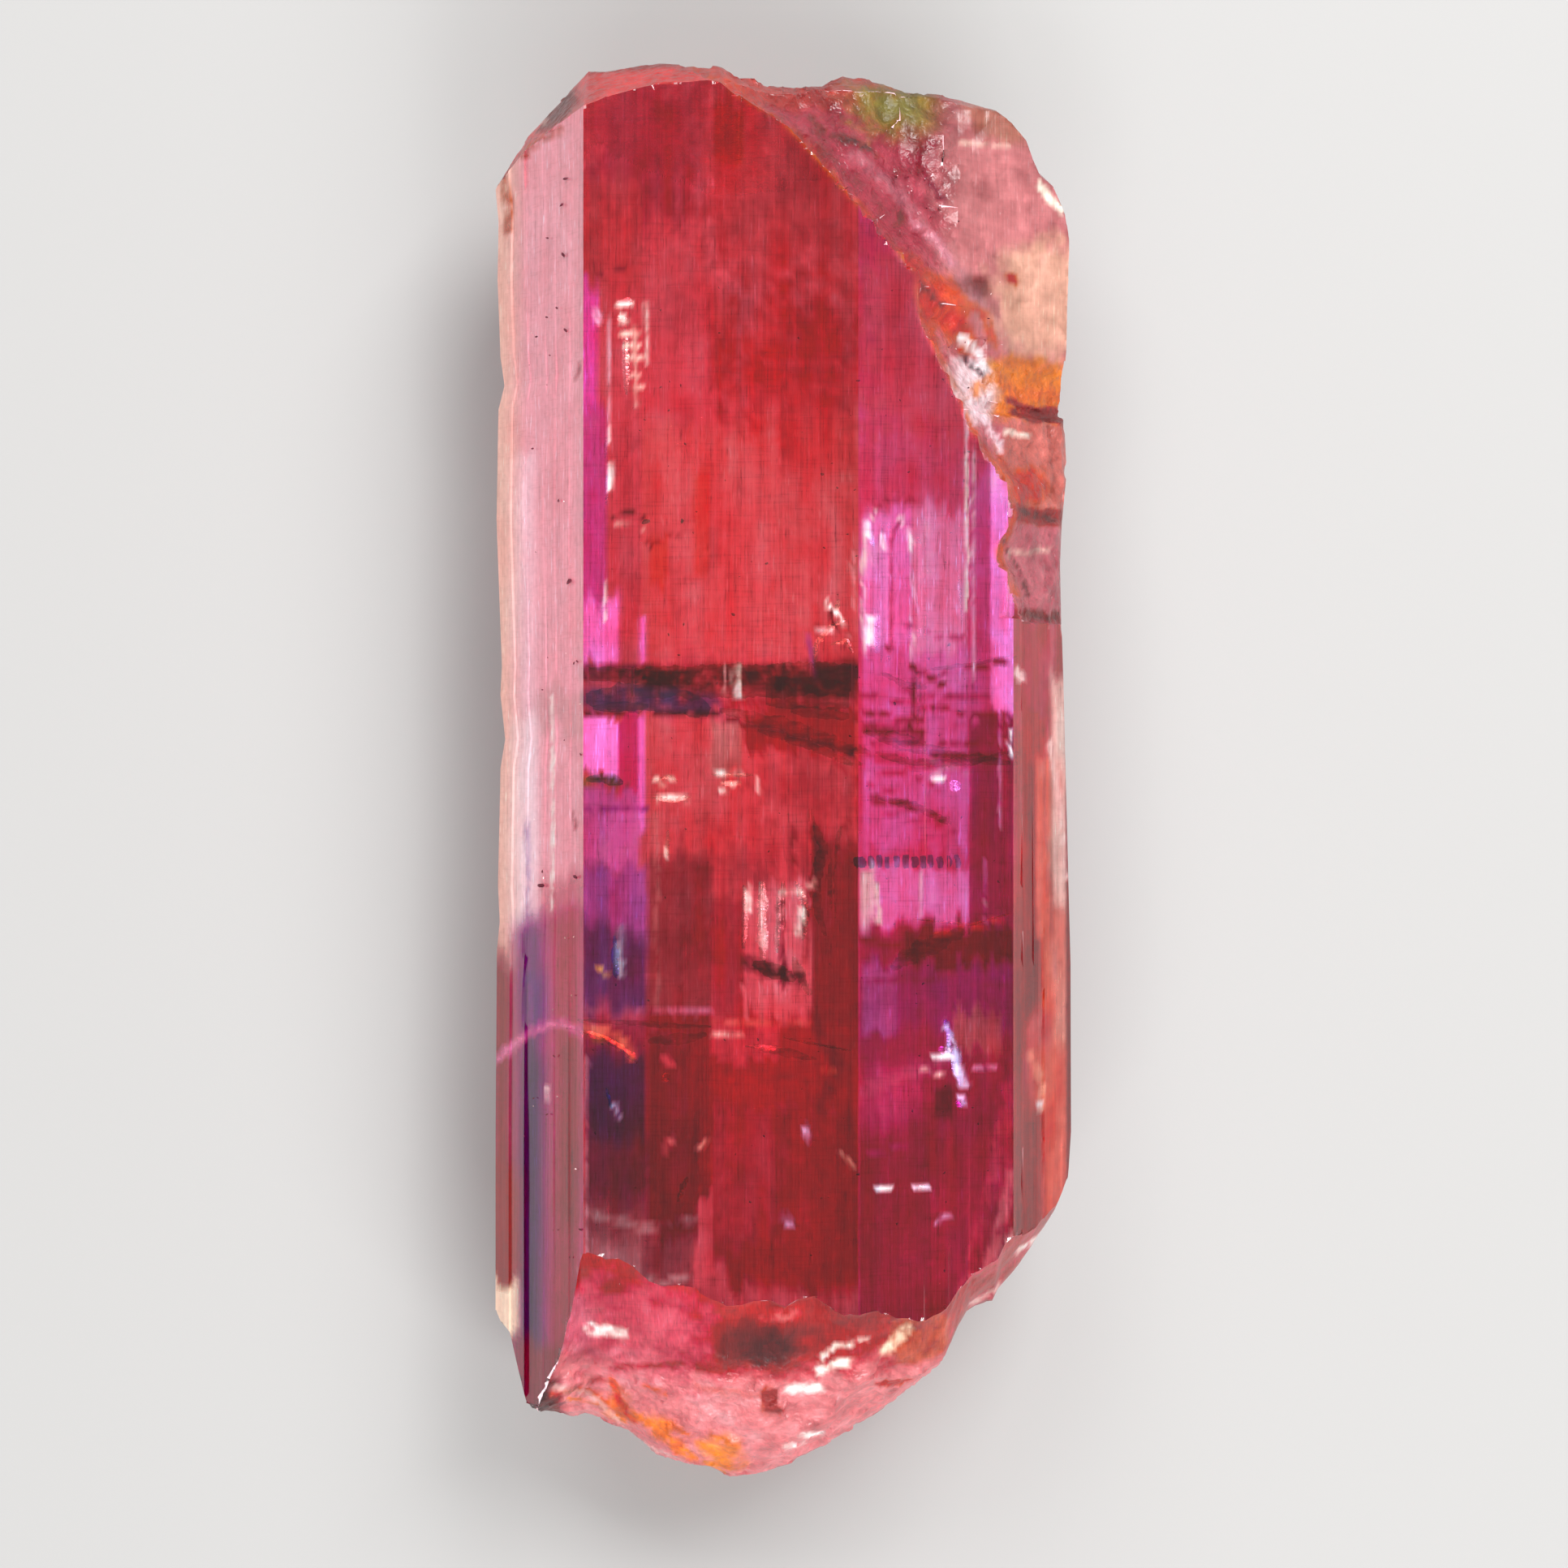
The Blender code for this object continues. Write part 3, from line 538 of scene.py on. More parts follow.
# Fine features on or just under each kind of surface, in order: points along the feature, half its width
# in pixels, colour seen, how milky, and how strongly it covers.
STROKES = {
    "left": (
        (((612, 1305), (655, 1268), (680, 1255), (702, 1251), (732, 1263)), 5.0, (232, 130, 168), 0.5, 0.9),
        (((690, 860), (690, 1120)), 1.6, (255, 226, 226), 0.6, 0.8),
        (((622, 228), (632, 258), (628, 286)), 7.0, (180, 84, 60), 0.5, 0.85),
        (((650, 204), (676, 190), (700, 186)), 5.0, (186, 92, 84), 0.4, 0.7),
        (((724, 470), (722, 486)), 1.5, (150, 40, 60), 0.1, 0.9),
        (((717, 1002), (719, 1018)), 1.5, (150, 50, 70), 0.2, 0.9),
        (((682, 1331), (683, 1344)), 4.0, (238, 190, 196), 0.6, 0.9),
        (((656, 1010), (660, 1260)), 4.0, (160, 90, 160), 0.2, 0.5),
    ),
    "main": (
        (((1010, 900), (1030, 940), (1052, 960)), 5.0, (170, 34, 44), 0.03, 0.6),
        (((1002, 1020), (1012, 1052), (1000, 1100), (986, 1140)), 7.0, (120, 10, 22), 0.01, 0.8),
        (((816, 1000), (818, 1230)), 3.0, (176, 84, 90), 0.15, 0.5),
        (((846, 1010), (848, 1236)), 3.0, (120, 36, 44), 0.05, 0.5),
        (((890, 440), (892, 540)), 3.0, (166, 24, 28), 0.02, 0.6),
        (((1000, 1240), (1030, 1300), (1010, 1350)), 8.0, (120, 6, 14), 0.01, 0.8),
        (((900, 1300), (1000, 1316)), 3.0, (140, 12, 22), 0.01, 0.7),
        (((736, 1470), (800, 1490), (860, 1480)), 5.0, (186, 110, 120), 0.3, 0.5),
        (((740, 1540), (800, 1556), (850, 1548)), 6.0, (206, 130, 140), 0.4, 0.5),
        (((732, 836), (806, 833)), 9.0, (104, 26, 58), 0.02, 1.0),
        # The near-black of the maroon band is painted shade: a real crack that looks dark because it
        # reflects dark surroundings.
        (((806, 840), (880, 840), (960, 838), (1048, 836)), 15.0, (92, 0, 10), 0.0, 1.0),
        (((960, 848), (1046, 850)), 17.0, (100, 2, 14), 0.0, 0.9),
        (((830, 866), (960, 872), (1046, 886)), 9.0, (150, 14, 30), 0.02, 0.85),
        (((733, 864), (790, 864), (840, 866), (880, 874)), 14.0, (118, 58, 92), 0.05, 1.0),
        (((733, 881), (800, 880), (880, 884), (960, 902), (1050, 934)), 2.4, (92, 10, 34), 0.02, 1.0),
        (((900, 890), (960, 908), (1052, 926)), 3.0, (120, 4, 20), 0.02, 0.9),
        (((897, 828), (897, 860)), 1.2, (230, 130, 140), 0.2, 0.8),
        (((908, 828), (908, 862)), 1.2, (240, 150, 160), 0.2, 0.8),
        (((916, 826), (916, 862)), 1.5, (250, 190, 190), 0.3, 0.9),
        (((996, 790), (1000, 830), (1004, 845)), 3.0, (150, 60, 120), 0.1, 0.7),
        # Painted glints: white hooks of light along the curved crack.
        (((1006, 786), (1046, 790)), 2.2, (255, 190, 200), 0.5, 0.9),
        (((1016, 752), (1034, 768), (1038, 780)), 2.5, (255, 205, 205), 0.5, 1.0),
        (((1022, 762), (1024, 778), (1034, 784)), 2.5, (96, 16, 30), 0.02, 1.0),
        (((1046, 690), (1050, 760)), 1.6, (240, 120, 130), 0.2, 0.7),
        (((766, 652), (782, 646), (802, 650)), 2.6, (112, 36, 36), 0.05, 1.0),
        (((770, 660), (800, 664)), 1.6, (240, 150, 150), 0.3, 0.8),
        (((806, 680), (824, 676), (846, 672)), 2.6, (130, 34, 38), 0.05, 0.9),
        (((810, 684), (812, 676)), 3.0, (120, 24, 30), 0.05, 0.9),
        (((750, 364), (778, 356)), 1.3, (130, 40, 60), 0.05, 0.8),
        # Painted highlights: small white glints and whitish streaks on the upper left of the main face.
        (((776, 436), (794, 434)), 2.6, (252, 200, 190), 0.5, 0.9),
        (((780, 450), (796, 449)), 2.4, (250, 186, 178), 0.4, 0.9),
        (((784, 466), (798, 464)), 3.0, (252, 196, 188), 0.45, 0.9),
        (((786, 484), (796, 482)), 2.4, (248, 176, 170), 0.4, 0.9),
        (((788, 500), (800, 498)), 2.4, (246, 170, 166), 0.35, 0.9),
        (((790, 426), (793, 520)), 3.0, (240, 140, 140), 0.2, 0.8),
        (((804, 398), (806, 470)), 1.6, (248, 170, 170), 0.3, 0.7),
        (((759, 416), (760, 540)), 1.2, (245, 150, 170), 0.25, 0.7),
        (((772, 402), (786, 400)), 4.0, (255, 235, 230), 0.7, 1.0),
        (((774, 416), (784, 420)), 3.5, (255, 225, 220), 0.6, 0.9),
        (((746, 410), (747, 418)), 4.0, (255, 190, 230), 0.5, 0.9),
        (((761, 548), (761, 566)), 2.0, (255, 215, 220), 0.5, 0.9),
        (((761, 588), (762, 616)), 2.6, (255, 240, 240), 0.7, 1.0),
        (((756, 730), (757, 772)), 2.0, (252, 190, 196), 0.4, 0.8),
        (((734, 1236), (880, 1234)), 1.6, (206, 90, 120), 0.15, 0.9),
        (((734, 1253), (760, 1260), (782, 1276), (790, 1284)), 6.0, (238, 90, 84), 0.15, 1.0),
        (((732, 1262), (770, 1272)), 3.0, (150, 70, 50), 0.1, 0.8),
        (((881, 1245), (1000, 1250)), 1.6, (226, 90, 90), 0.15, 0.8),
        (((884, 1262), (918, 1262)), 1.8, (240, 130, 130), 0.3, 0.9),
        (((1002, 1018), (1008, 1050), (998, 1090)), 5.0, (108, 8, 22), 0.01, 0.95),
        (((978, 1015), (976, 1075)), 3.2, (120, 14, 28), 0.01, 0.85),
        (((1040, 1010), (1024, 1070), (1000, 1120), (990, 1180)), 4.0, (140, 30, 34), 0.02, 0.6),
        (((925, 1088), (926, 1114)), 4.0, (255, 176, 176), 0.35, 0.95),
        (((941, 1090), (942, 1158)), 3.4, (250, 150, 156), 0.3, 0.9),
        (((962, 1094), (990, 1090), (1004, 1080)), 3.0, (250, 150, 150), 0.3, 0.8),
        (((989, 1116), (984, 1140)), 4.5, (250, 170, 170), 0.3, 0.85),
        (((964, 1104), (966, 1200)), 4.0, (104, 20, 40), 0.01, 0.9),
        (((924, 1176), (950, 1186), (984, 1196)), 8.0, (76, 8, 34), 0.01, 0.95),
        (((920, 1206), (922, 1240)), 3.0, (236, 110, 124), 0.15, 0.7),
        (((940, 1206), (942, 1240)), 3.0, (236, 110, 124), 0.15, 0.7),
        (((958, 1206), (960, 1240)), 3.0, (230, 104, 118), 0.15, 0.7),
        # Painted glints: white dashes, a ring and a short streak of light below the dark band.
        (((815, 958), (824, 966), (834, 958)), 1.8, (255, 215, 205), 0.4, 0.9),
        (((816, 983), (852, 984)), 3.6, (255, 230, 225), 0.6, 1.0),
        (((884, 957), (918, 956)), 2.2, (255, 214, 214), 0.5, 1.0),
        (((894, 972), (910, 971)), 3.2, (255, 224, 220), 0.5, 1.0),
        (((936, 958), (938, 976)), 2.2, (250, 190, 190), 0.4, 0.8),
        (((827, 1030), (827, 1054)), 3.0, (255, 212, 204), 0.5, 0.95),
        (((734, 1067), (760, 1067)), 2.0, (106, 30, 70), 0.03, 0.9),
        (((732, 995), (804, 996)), 1.6, (150, 40, 110), 0.05, 0.8),
        (((732, 965), (752, 960), (778, 968)), 5.0, (112, 62, 44), 0.1, 1.0),
        (((732, 962), (738, 968)), 4.0, (176, 92, 40), 0.3, 0.8),
        (((774, 1133), (776, 1160)), 4.0, (150, 110, 140), 0.25, 0.8),
        (((772, 1160), (774, 1188)), 4.0, (186, 160, 180), 0.35, 0.8),
        (((748, 1184), (756, 1190)), 3.0, (226, 130, 70), 0.3, 0.8),
        (((766, 1346), (772, 1358)), 3.0, (190, 150, 186), 0.4, 0.8),
        (((734, 1290), (734, 1600)), 1.6, (206, 110, 130), 0.2, 0.7),
        (((826, 1400), (836, 1384)), 4.0, (226, 96, 100), 0.2, 0.8),
        (((866, 1396), (874, 1388)), 3.5, (236, 120, 116), 0.25, 0.8),
        (((826, 1292), (834, 1296)), 5.0, (220, 70, 84), 0.1, 0.8),
        # Painted glints, pale lilac.
        (((993, 1372), (995, 1382)), 4.0, (236, 170, 216), 0.4, 0.9),
        (((970, 1474), (974, 1484)), 5.0, (206, 130, 170), 0.3, 0.8),
        (((1034, 1400), (1048, 1414)), 3.0, (232, 150, 140), 0.3, 0.7),
        (((1000, 1306), (1046, 1308)), 1.6, (226, 90, 80), 0.1, 0.7),
    ),
    "right": (
        (((1060, 812), (1060, 690), (1064, 660), (1076, 644)), 2.0, (244, 170, 206), 0.25, 0.7),
        (((1094, 800), (1094, 680), (1100, 656), (1108, 650)), 1.8, (168, 44, 90), 0.04, 0.7),
        (((1118, 820), (1118, 690), (1112, 664)), 1.8, (246, 160, 200), 0.25, 0.7),
        (((1078, 640), (1094, 630), (1128, 634)), 2.4, (150, 44, 70), 0.04, 0.7),
        # Painted glints: white and lilac-white spots of light on the growth tubes.
        (((1064, 656), (1066, 674)), 3.2, (255, 220, 236), 0.5, 0.95),
        (((1082, 674), (1084, 684)), 3.6, (240, 190, 226), 0.4, 0.9),
        (((1104, 652), (1106, 662)), 3.0, (250, 170, 200), 0.3, 0.8),
        (((1116, 668), (1117, 686)), 2.4, (250, 200, 216), 0.4, 0.8),
        (((1069, 772), (1067, 796)), 5.0, (255, 232, 246), 0.6, 1.0),
        (((1090, 804), (1118, 801)), 2.2, (116, 20, 52), 0.01, 1.0),
        (((1117, 828), (1136, 838), (1156, 846)), 3.6, (126, 6, 40), 0.01, 0.95),
        (((1156, 832), (1190, 828), (1240, 816)), 2.4, (150, 10, 54), 0.02, 0.9),
        (((1120, 838), (1121, 870), (1116, 898)), 3.0, (104, 2, 36), 0.01, 0.95),
        (((1064, 902), (1130, 906)), 7.0, (120, 4, 44), 0.01, 0.9),
        (((1062, 884), (1084, 884)), 4.0, (130, 14, 64), 0.02, 0.8),
        (((1140, 930), (1212, 934), (1240, 930)), 4.0, (132, 2, 52), 0.01, 0.9),
        (((1060, 930), (1110, 940), (1180, 940)), 8.0, (176, 34, 74), 0.03, 0.7),
        (((1071, 984), (1110, 990), (1153, 1008)), 4.6, (138, 14, 56), 0.02, 0.95),
        # Painted glints: two white spots of light.
        (((1146, 960), (1152, 960)), 6.0, (255, 206, 232), 0.45, 1.0),
        (((1236, 904), (1237, 934)), 2.0, (255, 220, 236), 0.6, 1.0),
        (((1146, 1142), (1190, 1136), (1236, 1124)), 2.0, (226, 60, 64), 0.08, 0.95),
        (((1076, 1086), (1078, 1130)), 3.0, (248, 170, 210), 0.2, 0.8),
        (((1128, 1072), (1130, 1126)), 2.0, (250, 140, 190), 0.2, 0.7),
        (((1158, 1251), (1168, 1290)), 3.4, (206, 150, 206), 0.35, 0.95),
        (((1166, 1276), (1180, 1322)), 5.4, (226, 186, 228), 0.45, 1.0),
        # Painted glint: a white spot of light.
        (((1147, 1291), (1163, 1291)), 4.0, (255, 226, 232), 0.6, 1.0),
        (((1132, 1304), (1154, 1310)), 3.0, (250, 170, 170), 0.4, 0.9),
        (((1176, 1340), (1179, 1342)), 4.0, (234, 176, 222), 0.45, 1.0),
        (((1188, 1305), (1240, 1299)), 1.5, (226, 120, 160), 0.2, 0.9),
        # Painted glints: two short white dashes of light.
        (((1078, 1444), (1094, 1444)), 2.2, (255, 220, 240), 0.6, 1.0),
        (((1120, 1443), (1138, 1442)), 1.8, (255, 196, 226), 0.5, 1.0),
        (((1150, 1484), (1164, 1478)), 3.6, (216, 130, 170), 0.3, 0.8),
        (((1055, 1330), (1100, 1312), (1150, 1300)), 8.0, (186, 70, 104), 0.1, 0.5),
        (((1216, 1390), (1232, 1370), (1236, 1420), (1222, 1460)), 5.0, (190, 60, 80), 0.1, 0.5),
        (((1238, 1330), (1214, 1440), (1180, 1570)), 9.0, (196, 60, 84), 0.15, 0.7),
        (((1240, 1430), (1222, 1500), (1200, 1580)), 7.0, (216, 104, 116), 0.3, 0.6),
        (((1240, 1500), (1214, 1566), (1196, 1600)), 5.0, (236, 160, 164), 0.4, 0.7),
        (((1056, 862), (1100, 868), (1170, 880), (1236, 884)), 3.0, (150, 10, 60), 0.02, 0.8),
        (((1056, 878), (1110, 890), (1180, 896)), 2.6, (140, 8, 52), 0.02, 0.8),
        (((1100, 852), (1150, 866), (1210, 862)), 2.4, (156, 16, 66), 0.02, 0.7),
        (((1070, 916), (1150, 918), (1236, 914)), 2.6, (146, 6, 56), 0.02, 0.8),
        (((1060, 948), (1120, 956), (1150, 974)), 2.6, (160, 24, 66), 0.03, 0.7),
        (((1064, 968), (1110, 976)), 2.2, (160, 30, 70), 0.03, 0.7),
        (((1080, 1000), (1140, 1012), (1170, 1022)), 2.2, (170, 34, 80), 0.03, 0.6),
        (((1110, 776), (1150, 790), (1180, 792)), 2.0, (170, 34, 90), 0.03, 0.6),
        (((1060, 1150), (1120, 1160), (1180, 1158)), 4.0, (130, 6, 44), 0.01, 0.8),
        (((1058, 1200), (1150, 1196), (1236, 1206)), 3.0, (140, 16, 70), 0.02, 0.6),
        (((1070, 1400), (1120, 1390)), 2.4, (196, 60, 110), 0.1, 0.6),
        (((1184, 340), (1184, 760)), 1.2, (250, 180, 206), 0.25, 0.75),
        (((1191, 560), (1192, 840)), 1.2, (246, 150, 190), 0.2, 0.6),
        (((1205, 1060), (1206, 1130)), 2.0, (236, 110, 180), 0.1, 0.7),
        (((1224, 880), (1224, 1020)), 1.8, (240, 110, 180), 0.1, 0.7),
        (((1176, 590), (1170, 600)), 3.0, (150, 60, 90), 0.05, 0.8),
        (((1140, 940), (1186, 952)), 3.0, (226, 110, 150), 0.1, 0.6),
    ),
    "far": (
        # Painted glint: a white spot of light.
        (((1244, 830), (1252, 838)), 5.0, (255, 220, 220), 0.6, 0.9),
        (((1290, 915), (1304, 1000), (1312, 1080)), 4.0, (248, 206, 204), 0.6, 0.8),
        (((1280, 940), (1290, 1100), (1296, 1200)), 2.4, (206, 120, 120), 0.3, 0.7),
        (((1262, 1290), (1280, 1330), (1276, 1360)), 5.0, (236, 150, 136), 0.4, 0.8),
        # Painted glint: a small white spot of light.
        (((1274, 1352), (1276, 1356)), 4.0, (246, 220, 226), 0.6, 0.9),
        (((1250, 1540), (1276, 1520), (1300, 1506)), 6.0, (246, 190, 186), 0.5, 0.8),
    ),
    "point": (
        (((729, 112), (729, 200)), 1.6, (200, 120, 130), 0.3, 0.6),
        # Painted glint: a small white spot of light.
        (((672, 156), (678, 160)), 3.0, (255, 236, 230), 0.8, 1.0),
        (((735, 104), (860, 106), (965, 122)), 4.0, (150, 10, 20), 0.05, 0.9),
    ),
    "chip": (
        (((1116, 352), (1140, 384), (1168, 410), (1186, 434)), 15.0, (196, 84, 16), 0.85, 1.0),
        (((1126, 372), (1160, 396)), 4.0, (120, 44, 10), 0.7, 0.9),
        (((1136, 362), (1176, 378), (1212, 398), (1222, 430)), 6.0, (204, 100, 30), 0.8, 0.9),
        (((1190, 500), (1222, 470), (1250, 492), (1312, 484)), 8.0, (206, 110, 36), 0.8, 0.8),
        (((1214, 456), (1240, 468), (1300, 462)), 5.0, (214, 130, 60), 0.7, 0.7),
        (((1246, 514), (1275, 520), (1312, 510)), 5.0, (128, 52, 14), 0.9, 1.0),
        (((1222, 560), (1240, 600), (1252, 636)), 5.0, (196, 92, 36), 0.8, 0.8),
        (((900, 140), (940, 176), (975, 215)), 8.0, (206, 90, 44), 0.4, 0.9),
        (((1026, 192), (1050, 198), (1080, 208)), 4.0, (122, 16, 30), 0.03, 0.95),
        (((1000, 170), (1016, 190)), 4.0, (150, 40, 60), 0.05, 0.8),
        (((1096, 240), (1110, 270), (1104, 300)), 3.4, (156, 50, 70), 0.05, 0.8),
        (((1060, 230), (1090, 236)), 3.0, (150, 46, 70), 0.05, 0.7),
        (((1120, 290), (1150, 310), (1170, 340)), 4.0, (226, 140, 160), 0.4, 0.7),
        (((1050, 215), (1100, 250), (1130, 290), (1180, 350), (1212, 400)), 9.0, (222, 150, 164), 0.4, 0.35),
        (((1130, 220), (1160, 260)), 4.0, (160, 60, 90), 0.05, 0.6),
        (((1180, 184), (1244, 184)), 1.8, (236, 180, 172), 0.6, 0.8),
        # Painted glint: white light on the chip.
        (((1284, 230), (1296, 246), (1306, 254)), 5.0, (255, 236, 220), 0.8, 1.0),
        (((1150, 372), (1180, 384), (1214, 400), (1218, 420)), 5.0, (206, 92, 30), 0.6, 0.9),
        # Painted highlight: the mirror highlight of the smooth facet.
        (((1180, 430), (1196, 440)), 6.0, (255, 240, 244), 0.7, 0.95),
        (((1184, 452), (1206, 470)), 5.0, (78, 60, 70), 0.1, 0.9),
        # Painted highlight: more of the same mirror highlight.
        (((1200, 440), (1212, 462)), 3.0, (246, 226, 232), 0.6, 0.9),
        (((1176, 480), (1200, 520), (1230, 560)), 4.0, (250, 214, 226), 0.5, 0.8),
        (((1235, 538), (1262, 540)), 3.0, (244, 220, 210), 0.7, 0.9),
        (((1240, 500), (1290, 512), (1312, 516)), 4.0, (140, 46, 8), 0.8, 0.9),
        (((1246, 636), (1300, 642)), 4.0, (120, 44, 14), 0.8, 0.9),
        # Painted glint: a white spot of light.
        (((1216, 654), (1226, 658)), 4.0, (255, 236, 240), 0.7, 1.0),
        (((1226, 670), (1250, 710), (1262, 740)), 2.4, (120, 60, 70), 0.1, 0.8),
        (((1240, 690), (1290, 680)), 3.0, (226, 180, 172), 0.5, 0.7),
        (((1200, 560), (1236, 610), (1244, 640)), 3.4, (206, 100, 50), 0.5, 0.8),
    ),
    "base": (
        (((690, 1700), (724, 1704), (752, 1722)), 4.0, (206, 100, 34), 0.85, 0.9),
        (((700, 1716), (742, 1728), (770, 1752)), 3.5, (214, 116, 40), 0.85, 0.9),
        (((758, 1690), (766, 1722), (784, 1744)), 5.0, (196, 86, 20), 0.9, 1.0),
        (((784, 1736), (812, 1752), (836, 1780), (858, 1796)), 6.0, (232, 130, 26), 0.9, 1.0),
        (((800, 1690), (822, 1700)), 4.0, (204, 96, 40), 0.8, 0.8),
        (((826, 1742), (852, 1760)), 3.5, (214, 110, 30), 0.85, 0.9),
        (((862, 1770), (884, 1782), (900, 1806)), 5.0, (224, 132, 50), 0.85, 0.9),
        (((880, 1758), (912, 1772)), 3.5, (214, 120, 50), 0.8, 0.8),
        (((870, 1800), (892, 1822)), 4.0, (226, 140, 60), 0.8, 0.8),
        (((946, 1690), (952, 1712), (962, 1722)), 5.0, (150, 56, 14), 0.9, 1.0),
        (((1080, 1690), (1104, 1694), (1122, 1688)), 4.0, (186, 76, 26), 0.85, 1.0),
        (((700, 1640), (740, 1650), (800, 1646)), 5.0, (206, 120, 134), 0.4, 0.7),
        (((760, 1670), (830, 1660), (900, 1668)), 4.0, (150, 36, 60), 0.1, 0.7),
        # Painted highlights: the white glints on the broken base.
        (((735, 1618), (773, 1622)), 7.0, (255, 226, 222), 0.7, 0.95),
        (((1012, 1648), (1028, 1634), (1064, 1624)), 3.6, (255, 224, 214), 0.6, 0.9),
        (((1010, 1664), (1042, 1654)), 6.0, (255, 236, 226), 0.8, 1.0),
        (((974, 1694), (1010, 1690)), 6.0, (255, 230, 226), 0.8, 1.0),
        (((1088, 1640), (1112, 1612)), 7.0, (248, 206, 184), 0.6, 0.9),
        (((990, 1758), (1010, 1760)), 5.0, (255, 236, 232), 0.8, 1.0),
        (((970, 1772), (988, 1774)), 4.0, (255, 236, 232), 0.8, 1.0),
        (((672, 1680), (700, 1640), (706, 1560)), 3.0, (232, 160, 180), 0.5, 0.7),
        (((690, 1690), (740, 1720), (780, 1780), (840, 1800)), 4.0, (240, 180, 180), 0.5, 0.7),
        (((940, 1600), (980, 1590)), 6.0, (214, 120, 120), 0.3, 0.7),
        (((700, 1700), (750, 1690)), 4.0, (150, 60, 60), 0.2, 0.6),
        (((1250, 1530), (1296, 1512)), 4.0, (250, 210, 204), 0.6, 0.9),
        (((1196, 1600), (1226, 1580)), 5.0, (240, 180, 176), 0.5, 0.8),
        (((860, 1690), (930, 1700)), 4.0, (190, 100, 96), 0.3, 0.6),
    ),
    "back": (),
}
# Rust that runs along the rim of the chip: half its width, colour, how milky, on which surfaces, beyond
# which place along the crystal, its share on average and how much it varies, and the noise by which it does.
RIM_RUST = (0.12, (190, 92, 40), 0.8)
RUSTED = ("chip", "main", "right")
RUST_END_Y = 4.5
RUST_SHARE = (0.5, 1.2)
RUST_WAVES = (0.5, 41)
# How strongly fine mottling shows on each unbroken kind of surface.
MOTTLED = {"left": 0.3, "main": 1.5, "right": 1.4, "far": 1.0, "back": 0.5}
# How soft the sides of a wash are at most, on each unbroken kind of surface.
SIDE_SOFT = {"left": 0.8, "main": 0.1, "right": 0.1, "far": 0.25, "back": 0.3}
# A wash softer than this is a cloud with soft sides too.
CLOUD = 1.3
THINNEST_STROKE = 0.045
DARKEST_TINT = 0.003
# The least value to divide by.
TINY = 1e-6

# How far washes wander across and along the crystal, on unbroken and on stained surfaces.
WANDER = ((0.03, 0.25), (0.2, 0.2))
WANDER_WAVES = ((1.1, 21), (1.1, 31))
# How far the ends of washes run out in fine lines along the flat faces.
RUN_OUT = 0.3
RUN_OUT_WAVES = ((0.13, 4.0, 4.0), 35)
# How much the edges of washes fray, at most and at their ends.
FRAY = 0.45
END_FRAY = 0.4
FRAY_WAVES = (0.3, 33)
# How far strokes wander, and how they break off: their share on average, and how much it varies.
STROKE_WANDER = 0.06
STROKE_WAVES = ((0.3, 43), (0.3, 44))
STROKE_KEPT = 0.9
STROKE_BROKEN = 1.3
BREAK_WAVES = (0.2, 45)
# Streaks along the crystal: their strength and noise. Their share on average and how much it varies, the
# noise by which it does, and its limits.
STREAKS = ((1, (0.13, 2.6, 0.4), 51), (0.7, (0.34, 6.0, 1.0), 52))
STREAK_SWELL = (0.6, 0.8)
STREAK_WAVES = ((1.2, 2.2, 1.2), 53)
STREAK_LIMITS = (0.15, 1.4)
# The noise of the grains, and the limits of the shade that streaks and grains give.
GRAIN_WAVES = (0.8, 61)
SHADE_LIMITS = (0.2, 2)
# Mottling of unbroken surfaces, in brightness and in how red they are, and of broken ones in brightness.
MOTTLE = ((0.1, uneven, 0.5, 63), (0.09, rolling, (0.14, 0.18, 0.5), 64), (0.1, uneven, 1.8, 67))
HUES = ((0.2, uneven, 0.9, 65), (0.2, rolling, (0.25, 1.4, 0.6), 66))
BROKEN_MOTTLE = ((0.16, hackle, 0.42, 57), (0.2, uneven, 0.3, 58))
# Surfaces more milky than this are rougher too, by this much.
MILKY = 0.5
MILKY_ROUGHNESS = 0.4
ROUGHNESS_LIMITS = (0.02, 0.9)


def across(pixel):
    """Place in X of a pixel column of the photograph."""
    return (pixel - PHOTO_MIDDLE[0]) / PHOTO_SCALE


def along(pixel):
    """Place in Y of a pixel row of the photograph."""
    return (PHOTO_MIDDLE[1] - pixel) / PHOTO_SCALE


def blot(x, y, x_reach, y_reach, soft, fray):
    """1 inside a rounded patch, with a frayed edge that is soft wide."""
    middle_x, middle_y = sum(x_reach) / 2, sum(y_reach) / 2
    half_x, half_y = (x_reach[1] - x_reach[0]) / 2, (y_reach[1] - y_reach[0]) / 2
    out = (np.abs((x - middle_x) / half_x) ** 3 + np.abs((y - middle_y) / half_y) ** 3) ** (1 / 3)
    return eased(np.clip((1 - out) * min(half_x, half_y) / soft + 0.5 + fray, 0, 1))


def stroke(x, y, line, half):
    """1 along a line of points and 0 beyond one and a half times half its width, fading in between."""
    nearest = np.full(len(x), np.inf)
    for (ax, ay), (bx, by) in zip(line, line[1:]):
        run_x, run_y = bx - ax, by - ay
        share = np.clip(((x - ax) * run_x + (y - ay) * run_y) / (run_x**2 + run_y**2), 0, 1)
        nearest = np.minimum(nearest, np.hypot(x - ax - share * run_x, y - ay - share * run_y))
    return eased(np.clip(1.5 - nearest / half, 0, 1))


def summed(at, waves):
    """Sum of several kinds of noise, each with its strength."""
    return sum(strength * kind(at, wavelength, seed) for strength, kind, wavelength, seed in waves)


